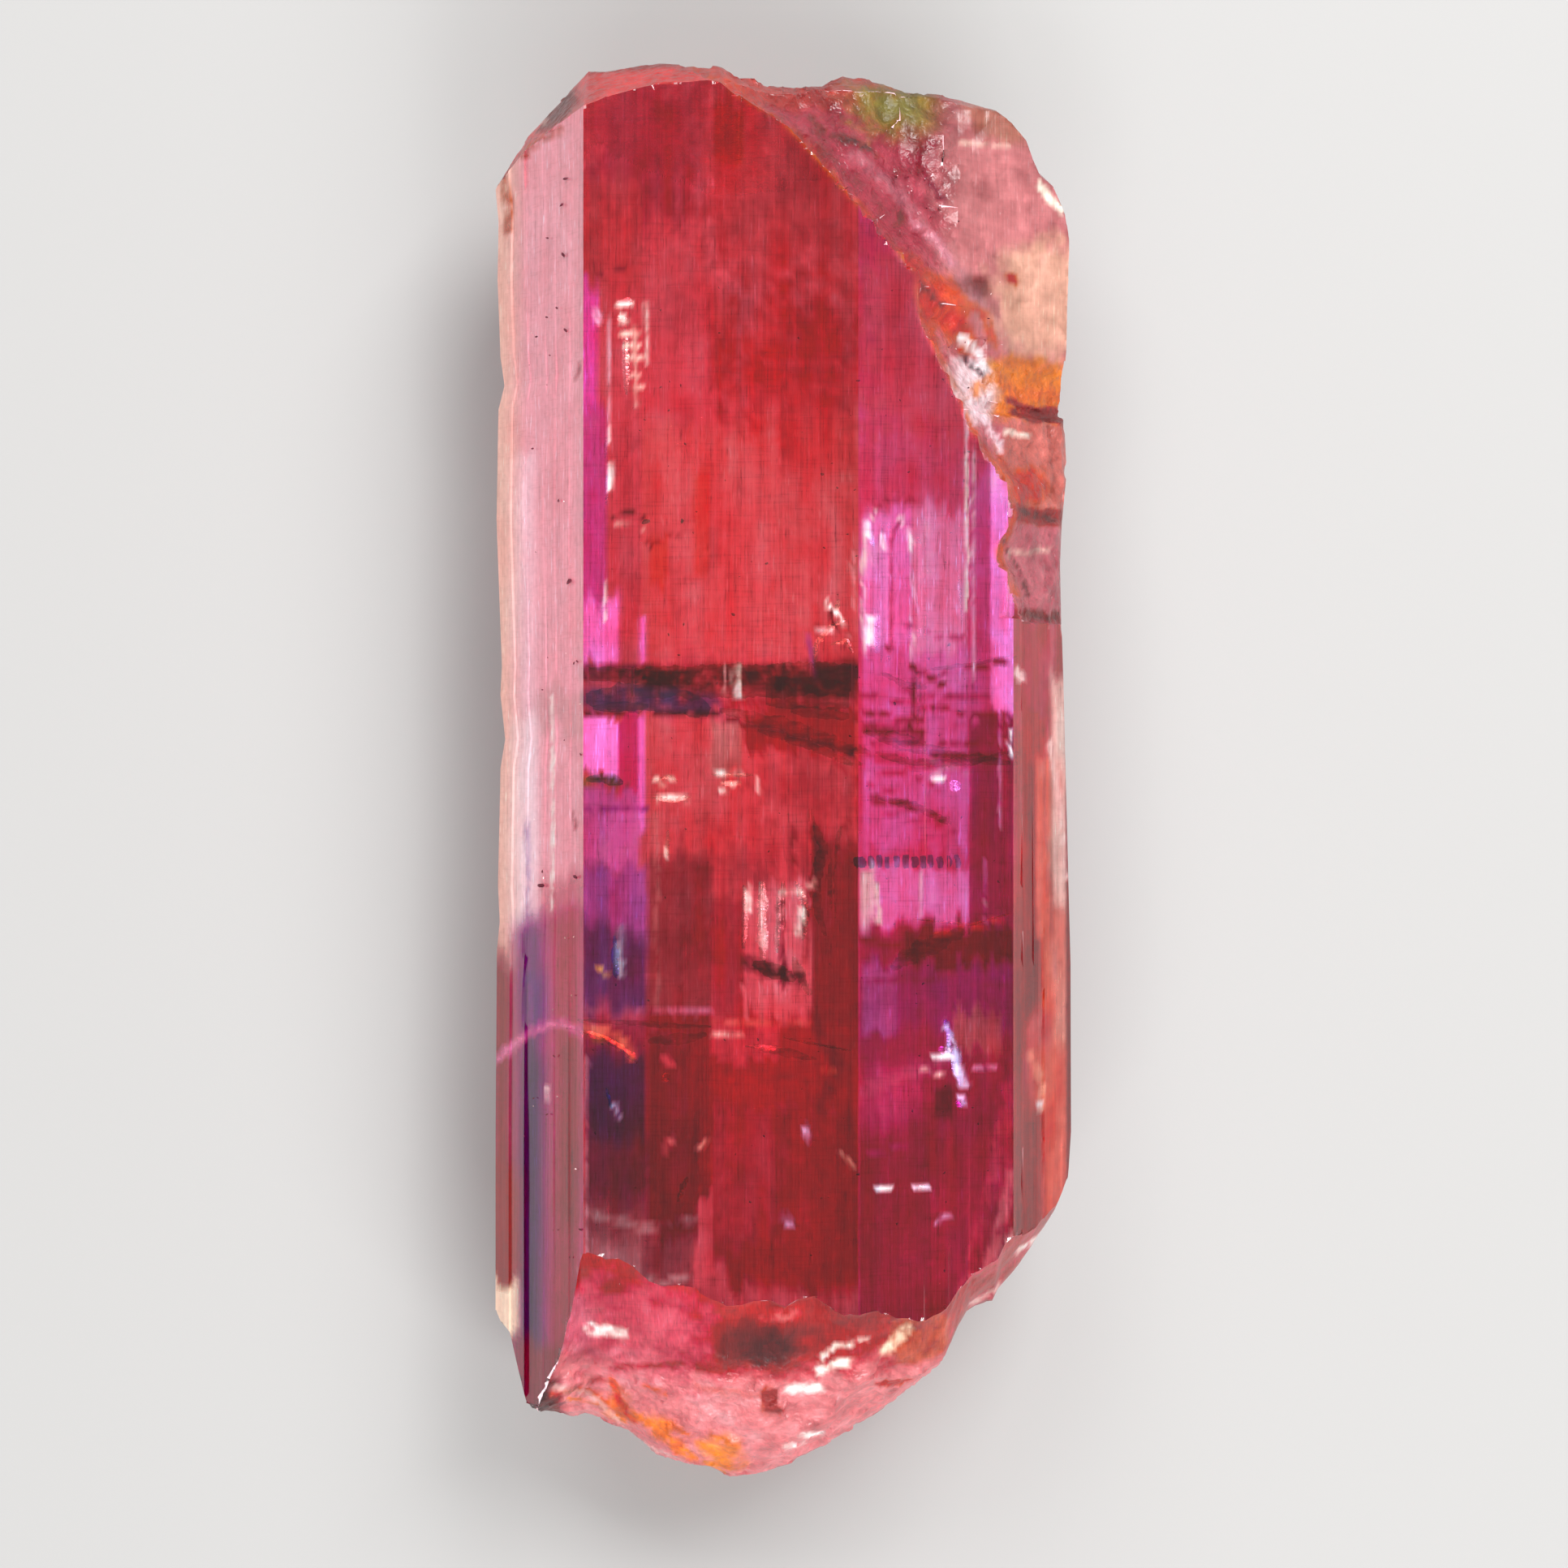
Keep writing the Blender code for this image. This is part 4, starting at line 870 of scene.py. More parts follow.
class Coat:
    """Colour seen and milkiness at points of one kind of surface, painted over layer by layer."""

    def __init__(self, kind, at):
        ground, ground_milk = GROUND[kind][:2]
        self.kind = kind
        self.at = at
        self.colour = np.tile(linear(ground), (len(at), 1))
        self.milk = np.full(len(at), ground_milk)

    def cover(self, seen, milk, share):
        """Covers a share of what is there."""
        self.colour += (linear(seen) - self.colour) * share[:, None]
        self.milk += (milk - self.milk) * share

    def wash(self):
        """Paints the washes."""
        at = self.at
        stained = self.kind in STAINED
        reach_x, reach_y = WANDER[stained]
        waves_x, waves_y = WANDER_WAVES
        x = at[:, 0] + reach_x * uneven(at, *waves_x)
        y = at[:, 1] + reach_y * uneven(at, *waves_y)
        fray = FRAY * uneven(at, *FRAY_WAVES)
        if not stained:
            y += RUN_OUT * rolling(at, *RUN_OUT_WAVES)
        for columns, rows, seen, milk, strength, soft in WASHES[self.kind]:
            x_reach = tuple(across(p) for p in columns)
            y_reach = tuple(along(p) for p in reversed(rows))
            if stained or soft > CLOUD:
                share = blot(x, y, x_reach, y_reach, soft, fray)
            else:
                share = window(x, *x_reach, min(soft, SIDE_SOFT[self.kind]))
                share *= window(y + END_FRAY * soft * fray, *y_reach, soft)
            self.cover(seen, milk, strength * share)

    def rust(self):
        """Paints the rust along the rim of the chip."""
        half, seen, milk = RIM_RUST
        x, y = self.at[:, 0], self.at[:, 1]
        mean, swell = RUST_SHARE
        share = np.exp(-(((x - chip_rim(y)) / half) ** 2)) * (y > RUST_END_Y)
        self.cover(seen, milk, share * np.clip(mean + swell * rolling(self.at, *RUST_WAVES), 0, 1))

    def draw(self):
        """Paints the strokes."""
        at = self.at
        waves_x, waves_y = STROKE_WAVES
        x = at[:, 0] + STROKE_WANDER * uneven(at, *waves_x)
        y = at[:, 1] + STROKE_WANDER * uneven(at, *waves_y)
        broken = np.clip(STROKE_KEPT + STROKE_BROKEN * uneven(at, *BREAK_WAVES), 0, 1)
        for points, half, seen, milk, strength in STROKES[self.kind]:
            line = [(across(px), along(py)) for px, py in points]
            share = stroke(x, y, line, max(half / PHOTO_SCALE, THINNEST_STROKE))
            self.cover(seen, milk, strength * share * broken)

    def vary(self):
        """Varies the colour in patches, streaks and grains."""
        at = self.at
        if self.kind in STAINED:
            self.colour *= 1 + summed(at, BROKEN_MOTTLE)[:, None]
        else:
            self.colour *= 1 + MOTTLED[self.kind] * summed(at, MOTTLE)[:, None]
            self.colour[:, 1:] *= 1 + MOTTLED[self.kind] * summed(at, HUES)[:, None]
        mean, swell = STREAK_SWELL
        streak = sum(strength * rolling(at, wavelength, seed) for strength, wavelength, seed in STREAKS)
        streak *= np.clip(mean + swell * rolling(at, *STREAK_WAVES), *STREAK_LIMITS)
        streaks, grains = GROUND[self.kind][3:]
        shade = 1 + streaks * streak + grains * uneven(at, *GRAIN_WAVES)
        self.colour *= shade[:, None].clip(*SHADE_LIMITS)


def painted(kind, at):
    """Colour seen, milkiness and roughness at points of one kind of surface."""
    coat = Coat(kind, at)
    coat.wash()
    if kind in RUSTED:
        coat.rust()
    coat.draw()
    coat.vary()
    rough = GROUND[kind][2] + np.clip(coat.milk - MILKY, 0, 1) * MILKY_ROUGHNESS
    return coat.colour, coat.milk.clip(0, 1), rough


def paint(mesh):
    """Stores tint, milkiness and roughness on the corners of the crystal's faces."""
    points = np.empty(len(mesh.vertices) * 3)
    mesh.vertices.foreach_get("co", points)
    points = points.reshape(-1, 3) / MM
    corner = np.empty(len(mesh.loops), dtype=np.int64)
    mesh.loops.foreach_get("vertex_index", corner)
    centre = np.array([p.center[:] for p in mesh.polygons]) / MM
    normal = np.array([p.normal[:] for p in mesh.polygons])
    face_kind = kinds_of_surface(centre, normal)
    mesh.polygons.foreach_set("use_smooth", np.isin(face_kind, STAINED))
    kind = np.repeat(face_kind, [p.loop_total for p in mesh.polygons])
    tint = np.ones((len(corner), 4))
    clarity = np.ones(len(corner))
    frost = np.zeros(len(corner))
    for name in GROUND:
        chosen = np.flatnonzero(kind == name)
        if not len(chosen):
            continue
        used, place = np.unique(corner[chosen], return_inverse=True)
        colour, milk, rough = painted(name, points[used])
        tint[chosen, :3] = tint_for(name, colour, milk)[place]
        clarity[chosen] = 1 - milk[place]
        frost[chosen] = rough[place]
    store(mesh, "tint", "FLOAT_COLOR", "color", tint)
    store(mesh, "clarity", "FLOAT", "value", clarity)
    store(mesh, "frost", "FLOAT", "value", frost.clip(*ROUGHNESS_LIMITS))
    store(mesh, "broken", "FLOAT", "value", ruggedness(kind, points[corner]))


def tint_for(kind, colour, milk):
    """The tint that makes a surface of one kind look a colour. A clear one shows its tint's square root."""
    untinted, haze, lit = LOOK[kind]
    wanted = (colour - haze).clip(0)
    milky = milk[:, None] * lit
    clear = (1 - milk[:, None]) * (np.array(untinted) - haze)
    root = 2 * wanted / (clear + np.sqrt(clear**2 + 4 * milky * wanted)).clip(TINY)
    return (root**2).clip(DARKEST_TINT, 1)


def store(mesh, name, kind, field, values):
    """Adds values to the mesh as a named attribute of its face corners."""
    mesh.attributes.new(name, kind, "CORNER").data.foreach_set(field, values.astype(np.float32).ravel())


def show(name, mesh, material):
    """Puts a mesh with one material into the scene."""
    mesh.materials.append(material)
    made = bpy.data.objects.new(name, mesh)
    bpy.context.scene.collection.objects.link(made)
    return made


def new_mesh(name, bm):
    """A mesh from a bmesh, which it uses up."""
    mesh = bpy.data.meshes.new(name)
    bm.to_mesh(mesh)
    bm.free()
    return mesh


def piece(name, bm, material):
    """A visible piece of the crystal from a bmesh."""
    made = show(name, new_mesh(name, bm), material)
    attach(made, "root")
    return made


class Nodes:
    """A new material with its shader, and short ways to add nodes to it."""

    def __init__(self, name, **values):
        self.material = bpy.data.materials.new(name)
        self.material.use_nodes = True
        self.tree = self.material.node_tree
        self.shader = self.tree.nodes["Principled BSDF"]
        self.output = self.tree.nodes["Material Output"]
        for socket, value in values.items():
            self.shader.inputs[socket.replace("_", " ")].default_value = value

    def add(self, kind, **values):
        """A new node with its settings."""
        node = self.tree.nodes.new("ShaderNode" + kind)
        for name, value in values.items():
            setattr(node, name, value)
        return node

    def link(self, output, target):
        """Joins an output to an input."""
        self.tree.links.new(output, target)

    def shade(self, output, socket):
        """Joins an output to an input of the shader."""
        self.link(output, self.shader.inputs[socket])

    def attribute(self, name, output):
        """An output of a named attribute of the mesh."""
        return self.add("Attribute", attribute_name=name).outputs[output]

    def noise(self, wavelength, detail):
        """Noise from 0 to 1 with a wavelength in millimetres along each axis."""
        place = self.add("TexCoord")
        mapping = self.add("Mapping")
        mapping.inputs["Scale"].default_value = [1 / (length * MM) for length in wavelength]
        self.link(place.outputs["Object"], mapping.inputs["Vector"])
        texture = self.add("TexNoise")
        texture.inputs["Scale"].default_value = 1.0
        texture.inputs["Detail"].default_value = detail
        self.link(mapping.outputs["Vector"], texture.inputs["Vector"])
        return texture.outputs["Fac"]

    def spread(self, output, low, high, to_low, to_high):
        """Maps a value's range from low..high to to_low..to_high, without going past the ends."""
        node = self.add("MapRange")
        for socket, value in zip(("From Min", "From Max", "To Min", "To Max"), (low, high, to_low, to_high)):
            node.inputs[socket].default_value = value
        self.link(output, node.inputs["Value"])
        return node.outputs["Result"]

    def math(self, operation, *terms):
        """Adds, multiplies or subtracts terms, each an output or a number, from the first to the last."""
        total, *others = terms
        for other in others:
            node = self.add("Math", operation=operation)
            for socket, value in zip(node.inputs, (total, other)):
                if isinstance(value, (int, float)):
                    socket.default_value = value
                else:
                    self.link(value, socket)
            total = node.outputs["Value"]
        return total

    def mix(self, factor, first, second, blend="MIX"):
        """Mixes two colours, each an output or red, green, blue and alpha."""
        node = self.add("Mix", data_type="RGBA", blend_type=blend)
        for socket, value in zip([s for s in node.inputs if s.enabled], (factor, first, second)):
            if isinstance(value, bpy.types.NodeSocket):
                self.link(value, socket)
            else:
                socket.default_value = value
        return next(s for s in node.outputs if s.enabled)

    def bump(self, height, distance):
        """Fine relief, this many millimetres high."""
        node = self.add("Bump")
        node.inputs["Distance"].default_value = distance * MM
        self.link(height, node.inputs["Height"])
        self.shade(node.outputs["Normal"], "Normal")


# Noise in the crystal's surface, each with its detail: long streaks, short dashes, layers across them,
# and grains.
STREAK_NOISE = ((0.05, 3.0, 0.2), 1.0)
DASH_NOISE = ((0.035, 0.5, 0.2), 1.0)
LAYER_NOISE = ((0.8, 0.045, 0.4), 0.0)
GRAIN_NOISE = ((0.2, 0.2, 0.2), 2.0)
# What ranges of this noise become: how much lighter or darker the surface gets, and then how much paler.
STREAK_SHADES = (0.3, 0.7, -0.24, 0.2)
DARK_DASHES = (0.62, 0.74, 0.0, -0.4)
LIGHT_DASHES = (0.24, 0.36, 0.25, 0.0)
LAYER_SHADES = (0.62, 0.72, 0.0, -0.16)
GRAIN_SHADES = (0.3, 0.7, -0.22, 0.18)
PALE_DASHES = (0.24, 0.36, 1.2, 0.0)
# How strongly streaks show by how clear the surface is, and grains by how broken it is.
STREAKS_BY_CLARITY = (0.3, 0.9, 0.3, 1.0)
GRAINS_BY_BREAKAGE = (0, 1, 0.35, 1.0)
# How much rougher grains make a broken surface, how high the relief is, and the share of streaks in it.
GRAIN_ROUGHNESS = (0.4, 0.65, 0.0, 0.2)
RELIEF = 0.08
STREAK_RELIEF = 0.05


def topaz():
    """Clear rose topaz: painted tint with fine streaks, and a grainy relief where it is broken."""
    made = Nodes("topaz", IOR=TOPAZ_IOR)
    broken = made.attribute("broken", "Fac")
    clarity = made.attribute("clarity", "Fac")
    streaks = made.noise(*STREAK_NOISE)
    dashes = made.noise(*DASH_NOISE)
    layers = made.noise(*LAYER_NOISE)
    grains = made.noise(*GRAIN_NOISE)
    unbroken = made.math("SUBTRACT", 1.0, broken)
    whole = made.math("MULTIPLY", unbroken, made.spread(clarity, *STREAKS_BY_CLARITY))
    lines = made.math(
        "ADD",
        made.spread(dashes, *DARK_DASHES),
        made.spread(dashes, *LIGHT_DASHES),
        made.spread(layers, *LAYER_SHADES),
        made.spread(streaks, *STREAK_SHADES),
    )
    grain_share = made.spread(broken, *GRAINS_BY_BREAKAGE)
    grain = made.math("MULTIPLY", made.spread(grains, *GRAIN_SHADES), grain_share)
    shade = made.math("ADD", made.math("MULTIPLY", lines, whole), grain, 1.0)
    paler = made.math("MULTIPLY", made.spread(dashes, *PALE_DASHES), whole)
    pale_shade = made.math("ADD", shade, paler)
    grey = made.add("CombineColor")
    for channel, value in (("Red", shade), ("Green", pale_shade), ("Blue", pale_shade)):
        made.link(value, grey.inputs[channel])
    colour = made.mix(1.0, made.attribute("tint", "Color"), grey.outputs["Color"], "MULTIPLY")
    made.shade(colour, "Base Color")
    made.shade(clarity, "Transmission Weight")
    rougher = made.math("MULTIPLY", made.spread(grains, *GRAIN_ROUGHNESS), broken)
    made.shade(made.math("ADD", made.attribute("frost", "Fac"), rougher), "Roughness")
    scratches = made.math("MULTIPLY", streaks, STREAK_RELIEF)
    made.bump(made.math("ADD", scratches, made.math("MULTIPLY", grains, broken)), RELIEF)
    absorb = made.add("VolumeAbsorption")
    absorb.inputs["Color"].default_value = ABSORBED
    absorb.inputs["Density"].default_value = ABSORPTION
    made.link(absorb.outputs["Volume"], made.output.inputs["Volume"])
    return made.material


# The flaws' noise, each with its detail: in the films, on the cracks, in dark grains and in growth tubes.
FILM_NOISE = ((0.35, 0.12, 0.35), 4.0)
CRACK_NOISE = ((0.12, 0.12, 0.12), 2.0)
SPECK_NOISE = ((0.1, 0.1, 0.1), 2.0)
TUBE_NOISE = ((0.2, 1.0, 0.2), 2.0)
# What ranges of it become: a share of the second colour, and roughness.
PATCHES = (0.35, 0.65, 0.0, 1.0)
CRACK_ROUGHNESS = (0.3, 0.7, 0.15, 0.4)
SPECK_ROUGHNESS = (0.3, 0.7, 0.5, 0.8)
CRACK_METALLIC = 0.75
CRACK_RELIEF = 0.02
# Brightness of the second colour, as a share of the first.
CRACK_SHADE = 0.7
SPECK_SHADE = 2.2
TUBE_IOR = 1.1
TUBE_COLOURS = ((1, 0.8, 0.9, 1), (1, 0.95, 1, 1))


def veil(name, seen, thin):
    """A coloured film inside the crystal that doesn't bend light: darker here, thinner there."""
    made = Nodes(name, IOR=1.0, Roughness=0.0, Transmission_Weight=1.0)
    share = made.spread(made.noise(*FILM_NOISE), *PATCHES)
    made.shade(made.mix(share, (*linear(seen), 1), (*linear(thin), 1)), "Base Color")
    return made.material


def patchy(made, waves, seen, second_shade, roughness):
    """Gives a material two shades of a colour and uneven roughness, and returns the noise used."""
    patches = made.noise(*waves)
    second = (*(linear(seen) * second_shade).clip(0, 1), 1)
    made.shade(made.mix(made.spread(patches, *PATCHES), (*linear(seen), 1), second), "Base Color")
    made.shade(made.spread(patches, *roughness), "Roughness")
    return patches


def flake(name, seen):
    """A bright crack face inside the crystal."""
    made = Nodes(name, Metallic=CRACK_METALLIC)
    made.bump(patchy(made, CRACK_NOISE, seen, CRACK_SHADE, CRACK_ROUGHNESS), CRACK_RELIEF)
    return made.material


def speck(name, seen):
    """Dark dirt or mineral inside the crystal."""
    made = Nodes(name)
    patchy(made, SPECK_NOISE, seen, SPECK_SHADE, SPECK_ROUGHNESS)
    return made.material


def tube():
    """A hollow growth tube, which bends light only a little."""
    made = Nodes("growth_tube", IOR=TUBE_IOR, Roughness=0.0, Transmission_Weight=1.0)
    made.shade(made.mix(made.noise(*TUBE_NOISE), *TUBE_COLOURS), "Base Color")
    return made.material


def resampled(line):
    """Points of (x, y) along a line, about a step apart, with the share of the way to each."""
    line = [Vector(point) for point in line]
    lengths = [0.0]
    for a, b in zip(line, line[1:]):
        lengths.append(lengths[-1] + (b - a).length)
    count = max(3, math.ceil(lengths[-1] / STRIP_STEP))
    places = [lengths[-1] * i / count for i in range(count + 1)]
    xs = np.interp(places, lengths, [p.x for p in line])
    ys = np.interp(places, lengths, [p.y for p in line])
    return [(Vector((x, y)), i / count) for i, (x, y) in enumerate(zip(xs, ys))]


# A sheet's step along its line, its thickness, how ragged its sides are, and how it narrows at its ends.
STRIP_STEP = 0.05
THICK = 0.03
RAGGED = 0.35
TAPER = 0.35
# Its width never falls below these shares: at the tips, and in the dents of its sides.
TIP = 0.04
WAIST = 0.15
# The waves of its ragged sides: how many to a millimetre, a sign that sets them apart, and their strength.
RAGGED_WAVES = ((3.1, 1, 1.6), (9.0, -1, 1.0))


def strip(bm, line, half, depth, thick=THICK, ragged=RAGGED, taper=TAPER):
    """Adds a thin closed sheet along a line of (x, y), at a depth below the upper faces."""
    points = resampled(line)
    rings = []
    for i, (place, share) in enumerate(points):
        before = points[max(0, i - 1)][0]
        after = points[min(len(points) - 1, i + 1)][0]
        forward = (after - before).normalized()
        sideways = Vector((-forward.y, forward.x))
        swell = max(TIP, math.sin(math.pi * share)) ** taper
        sides = []
        for side in (1, -1):
            wobble = sum(
                strength * noise.noise(Vector((place.x, place.y, depth + sign * side)) * waves)
                for waves, sign, strength in RAGGED_WAVES
            )
            sides.append(half * swell * max(WAIST, 1 + ragged * wobble))
        left = place + sideways * sides[0]
        right = place - sideways * sides[1]
        corners = [(left, 0), (place, thick / 2), (right, 0), (place, -thick / 2)]
        rings.append(
            [bm.verts.new(Vector((p.x, p.y, float(upper_z(p.x)) - depth + up)) * MM) for p, up in corners]
        )
    for lower, upper in zip(rings, rings[1:]):
        for i in range(4):
            j = (i + 1) % 4
            bm.faces.new((lower[i], lower[j], upper[j]))
            bm.faces.new((lower[i], upper[j], upper[i]))
    for ring in (rings[0], rings[-1]):
        bm.faces.new(ring)


def strips(name, material, table, **shape):
    """One piece of several sheets."""
    bm = bmesh.new()
    for line, half, depth in table:
        strip(bm, line, half, depth, **shape)
    bmesh.ops.recalc_face_normals(bm, faces=bm.faces)
    return piece(name, bm, material)


# The flaws inside the crystal. Each sheet is a line of points, half its width, and its depth.
# The maroon band is a real crack; its dark absorbing films are painted shade, standing for dark surroundings
# that the crack reflects.
MAROON_BAND = (
    (((-3.6, 2.42), (-2.0, 2.4), (0.2, 2.48), (1.62, 2.5)), 0.4, 0.9),
    (((-4.6, 2.62), (-3.4, 2.55), (-2.6, 2.5)), 0.17, 0.8),
    (((-0.4, 2.2), (1.6, 2.1)), 0.36, 1.3),
)
SMOKY_LENS = (
    (((-4.66, 2.02), (-4.0, 2.05), (-3.0, 2.08), (-2.3, 1.92), (-1.75, 1.7)), 0.34, 0.5),
    (((-4.5, 1.8), (-3.2, 1.85)), 0.12, 0.4),
)
RED_VEILS = (
    (((-1.5, 1.75), (-0.2, 1.45), (0.9, 1.1), (1.9, 0.72)), 0.17, 1.0),
    (((-0.6, 1.3), (0.5, 0.95), (1.7, 0.45)), 0.1, 1.3),
    (((0.2, 1.75), (1.6, 1.6)), 0.14, 1.1),
    (((1.8, 1.25), (2.6, 0.95), (3.6, 0.75), (5.3, 0.5)), 0.13, 0.8),
    (((2.0, 0.75), (3.0, 0.5), (4.4, 0.52), (5.2, 0.75)), 0.1, 1.2),
    (((2.2, 2.65), (2.8, 2.35), (3.3, 2.3)), 0.09, 0.9),
    (((3.3, 2.7), (4.4, 2.85), (5.3, 3.05)), 0.05, 0.7),
    (((2.1, -0.3), (3.1, -0.55), (3.9, -0.95)), 0.1, 0.9),
    (((3.0, 2.9), (3.12, 2.0), (3.05, 1.3)), 0.05, 0.8),
    (((2.3, 1.15), (3.1, 1.0)), 0.12, 0.7),
    (((0.6, -0.6), (0.95, -1.5), (0.75, -2.6), (1.0, -3.6)), 0.12, 0.9),
    (((1.4, -1.0), (1.1, -2.2), (1.25, -3.2)), 0.09, 1.2),
    (((-1.7, -5.75), (-3.0, -5.7), (-4.7, -5.6)), 0.06, 0.7),
    (((-0.7, -6.2), (0.8, -6.5)), 0.1, 0.8),
    (((-3.2, -6.1), (-1.8, -5.95)), 0.12, 0.9),
    (((4.2, -3.5), (3.2, -3.9), (2.4, -4.4)), 0.2, 1.3),
)
SLOT_ROW = tuple(
    (((1.75 + 0.21 * i, -1.72 + 0.02 * (i % 3)), (1.78 + 0.21 * i, -1.98 - 0.02 * (i % 2))), 0.075, 0.5)
    for i in range(12)
)
SMUDGES = (
    (((-0.75, -4.25), (-0.3, -4.4), (0.3, -4.65)), 0.16, 1.0),
    (((-0.05, -2.3), (-0.02, -3.4)), 0.05, 1.0),
    (((0.25, -4.1), (0.6, -5.0)), 0.1, 1.2),
)
BROWN_INCLUSION = ((((-4.66, 0.1), (-4.3, 0.17), (-3.8, 0.02)), 0.12, 0.25),)
BRIGHT_CRACKS = (
    (((0.72, 2.75), (0.78, 3.3), (1.15, 3.75), (1.5, 3.9)), 0.06, 0.8),
    (((1.1, 3.3), (1.5, 3.4), (1.65, 3.1)), 0.05, 0.6),
    (((1.3, 4.35), (1.2, 4.0)), 0.06, 0.5),
    (((-0.92, -2.4), (-0.95, -3.9)), 0.09, 0.9),
    (((-0.5, -2.3), (-0.48, -4.2)), 0.12, 1.1),
    (((-0.12, -2.5), (-0.15, -4.0)), 0.06, 0.8),
    (((0.3, -2.3), (0.55, -3.0), (0.45, -3.7)), 0.08, 0.8),
    (((-3.0, 0.1), (-2.7, 0.2), (-2.5, 0.05)), 0.04, 0.6),
    (((-3.1, -0.32), (-2.6, -0.38), (-2.2, -0.3)), 0.06, 0.6),
    (((-1.7, 0.22), (-1.2, 0.2), (-0.7, 0.22)), 0.04, 0.6),
    (((-1.5, 0.0), (-1.0, 0.02)), 0.06, 0.7),
    (((-2.72, -1.1), (-2.75, -1.7)), 0.06, 0.6),
    (((-3.95, 11.35), (-3.55, 11.4)), 0.09, 0.4),
    (((-3.95, 11.0), (-3.7, 11.0)), 0.07, 0.4),
    (((-3.75, 10.8), (-3.7, 9.2)), 0.07, 0.5),
    (((-4.2, 8.2), (-4.22, 7.7)), 0.04, 0.3),
    (((-4.17, 7.3), (-4.2, 6.6)), 0.05, 0.3),
    (((-4.28, 4.5), (-4.3, 3.6)), 0.04, 0.4),
    (((2.0, 6.0), (2.05, 5.6)), 0.06, 0.5),
    (((2.15, 4.0), (2.1, 3.1)), 0.09, 0.6),
    (((3.9, 0.05), (4.15, -0.1)), 0.12, 0.5),
    (((-0.9, -6.2), (0.0, -6.25)), 0.05, 0.6),
    (((3.6, -6.3), (3.95, -6.35)), 0.1, 0.6),
    (((2.25, -9.55), (2.5, -9.55)), 0.04, 0.3),
    (((3.05, -9.55), (3.45, -9.52)), 0.035, 0.3),
    (((4.1, 5.0), (4.2, 3.8)), 0.03, 0.4),
)
LILAC_CRACKS = (
    (((3.75, -5.6), (4.0, -6.5), (4.15, -7.2)), 0.12, 0.7),
    (((4.05, -7.5), (4.2, -7.7)), 0.1, 0.7),
    (((-4.0, -3.6), (-3.95, -4.6)), 0.08, 0.8),
    (((-4.2, -7.2), (-4.05, -7.7)), 0.05, 0.6),
)
CORAL_CRACKS = (
    (((-4.72, -5.85), (-4.2, -6.05), (-3.7, -6.35), (-3.45, -6.6)), 0.09, 0.5),
    (((-2.9, -6.9), (-2.7, -7.0)), 0.12, 0.8),
    (((-2.5, -9.9), (-2.3, -9.3)), 0.06, 0.7),
    (((3.0, -3.2), (4.4, -3.35), (5.3, -3.1)), 0.03, 0.5),
    (((0.0, -6.0), (1.6, -6.3)), 0.03, 0.5),
)
GROWTH_TUBES = (
    (((2.25, 6.2), (2.25, 2.9)), 0.3, 1.2),
    (((2.95, 5.9), (2.95, 3.5)), 0.26, 1.3),
)


def flaws():
    """The films, cracks and dirt that lie under the crystal's upper faces; the maroon band's films are
    painted shade in a real crack.
    """
    # The maroon film is painted shade: the darkness of a crack that reflects dark surroundings.
    maroon = veil("maroon_shade_film", (176, 66, 88), (222, 140, 156))
    strips("maroon_band", maroon, MAROON_BAND, ragged=0.12, taper=0.04)
    strips("smoky_lens", veil("smoky_film", (150, 122, 168), (206, 172, 202)), SMOKY_LENS, ragged=0.15)
    strips("red_veils", veil("red_film", (196, 84, 116), (240, 186, 200)), RED_VEILS)
    strips("slot_row", speck("slot_dark", (52, 8, 36)), SLOT_ROW, ragged=0.4, taper=0.15)
    strips("smudges", veil("crimson_film", (166, 70, 90), (216, 150, 160)), SMUDGES)
    strips("brown_inclusion", speck("brown_mineral", (84, 48, 26)), BROWN_INCLUSION)
    strips("bright_cracks", flake("bright_crack", (255, 214, 214)), BRIGHT_CRACKS)
    strips("lilac_cracks", flake("lilac_crack", (224, 190, 236)), LILAC_CRACKS)
    strips("coral_cracks", flake("coral_crack", (250, 120, 104)), CORAL_CRACKS)
    strips("growth_tubes", tube(), GROWTH_TUBES, thick=0.5, ragged=0.05, taper=0.3)


# Grains that the photograph shows one by one: place in X and Y, and radius.
SPECKS = (
    (-5.2, 14.4, 0.06),
    (-5.3, 13.8, 0.05),
    (-5.68, 13.1, 0.04),
    (-5.26, 12.6, 0.07),
    (-5.7, 11.2, 0.04),
    (-5.2, 10.8, 0.06),
    (-5.1, 4.82, 0.08),
    (-4.94, -2.2, 0.07),
    (-5.84, -2.44, 0.09),
    (-3.25, 6.2, 0.1),
    (-2.4, 6.2, 0.06),
    (-1.2, 4.0, 0.05),
    (0.9, 7.3, 0.05),
    (-0.4, 5.2, 0.05),
    (3.9, 3.3, 0.06),
    (2.6, 1.9, 0.05),
)
# Stray specks and sparks: how many, least and greatest radius, and seed. Then their reach in X and Y.
STRAY_SPECKS = (170, 0.014, 0.04, 4)
STRAY_SPARKS = (150, 0.01, 0.028, 9)
STRAY_X = (-6.2, 5.2)
STRAY_Y = (-12, 12)
# How deep a grain lies: in the left face by this share of its radius, and under the others by this much
# and this share of it.
LEFT_GRAIN_DEPTH = 0.24
GRAIN_DEPTH = (0.1, 1.5)
# How uneven a grain is, and how much longer and narrower than a ball.
GRAIN_UNEVEN = (0.6, 1.1)
GRAIN_LONG = 1.3
GRAIN_NARROW = 0.7


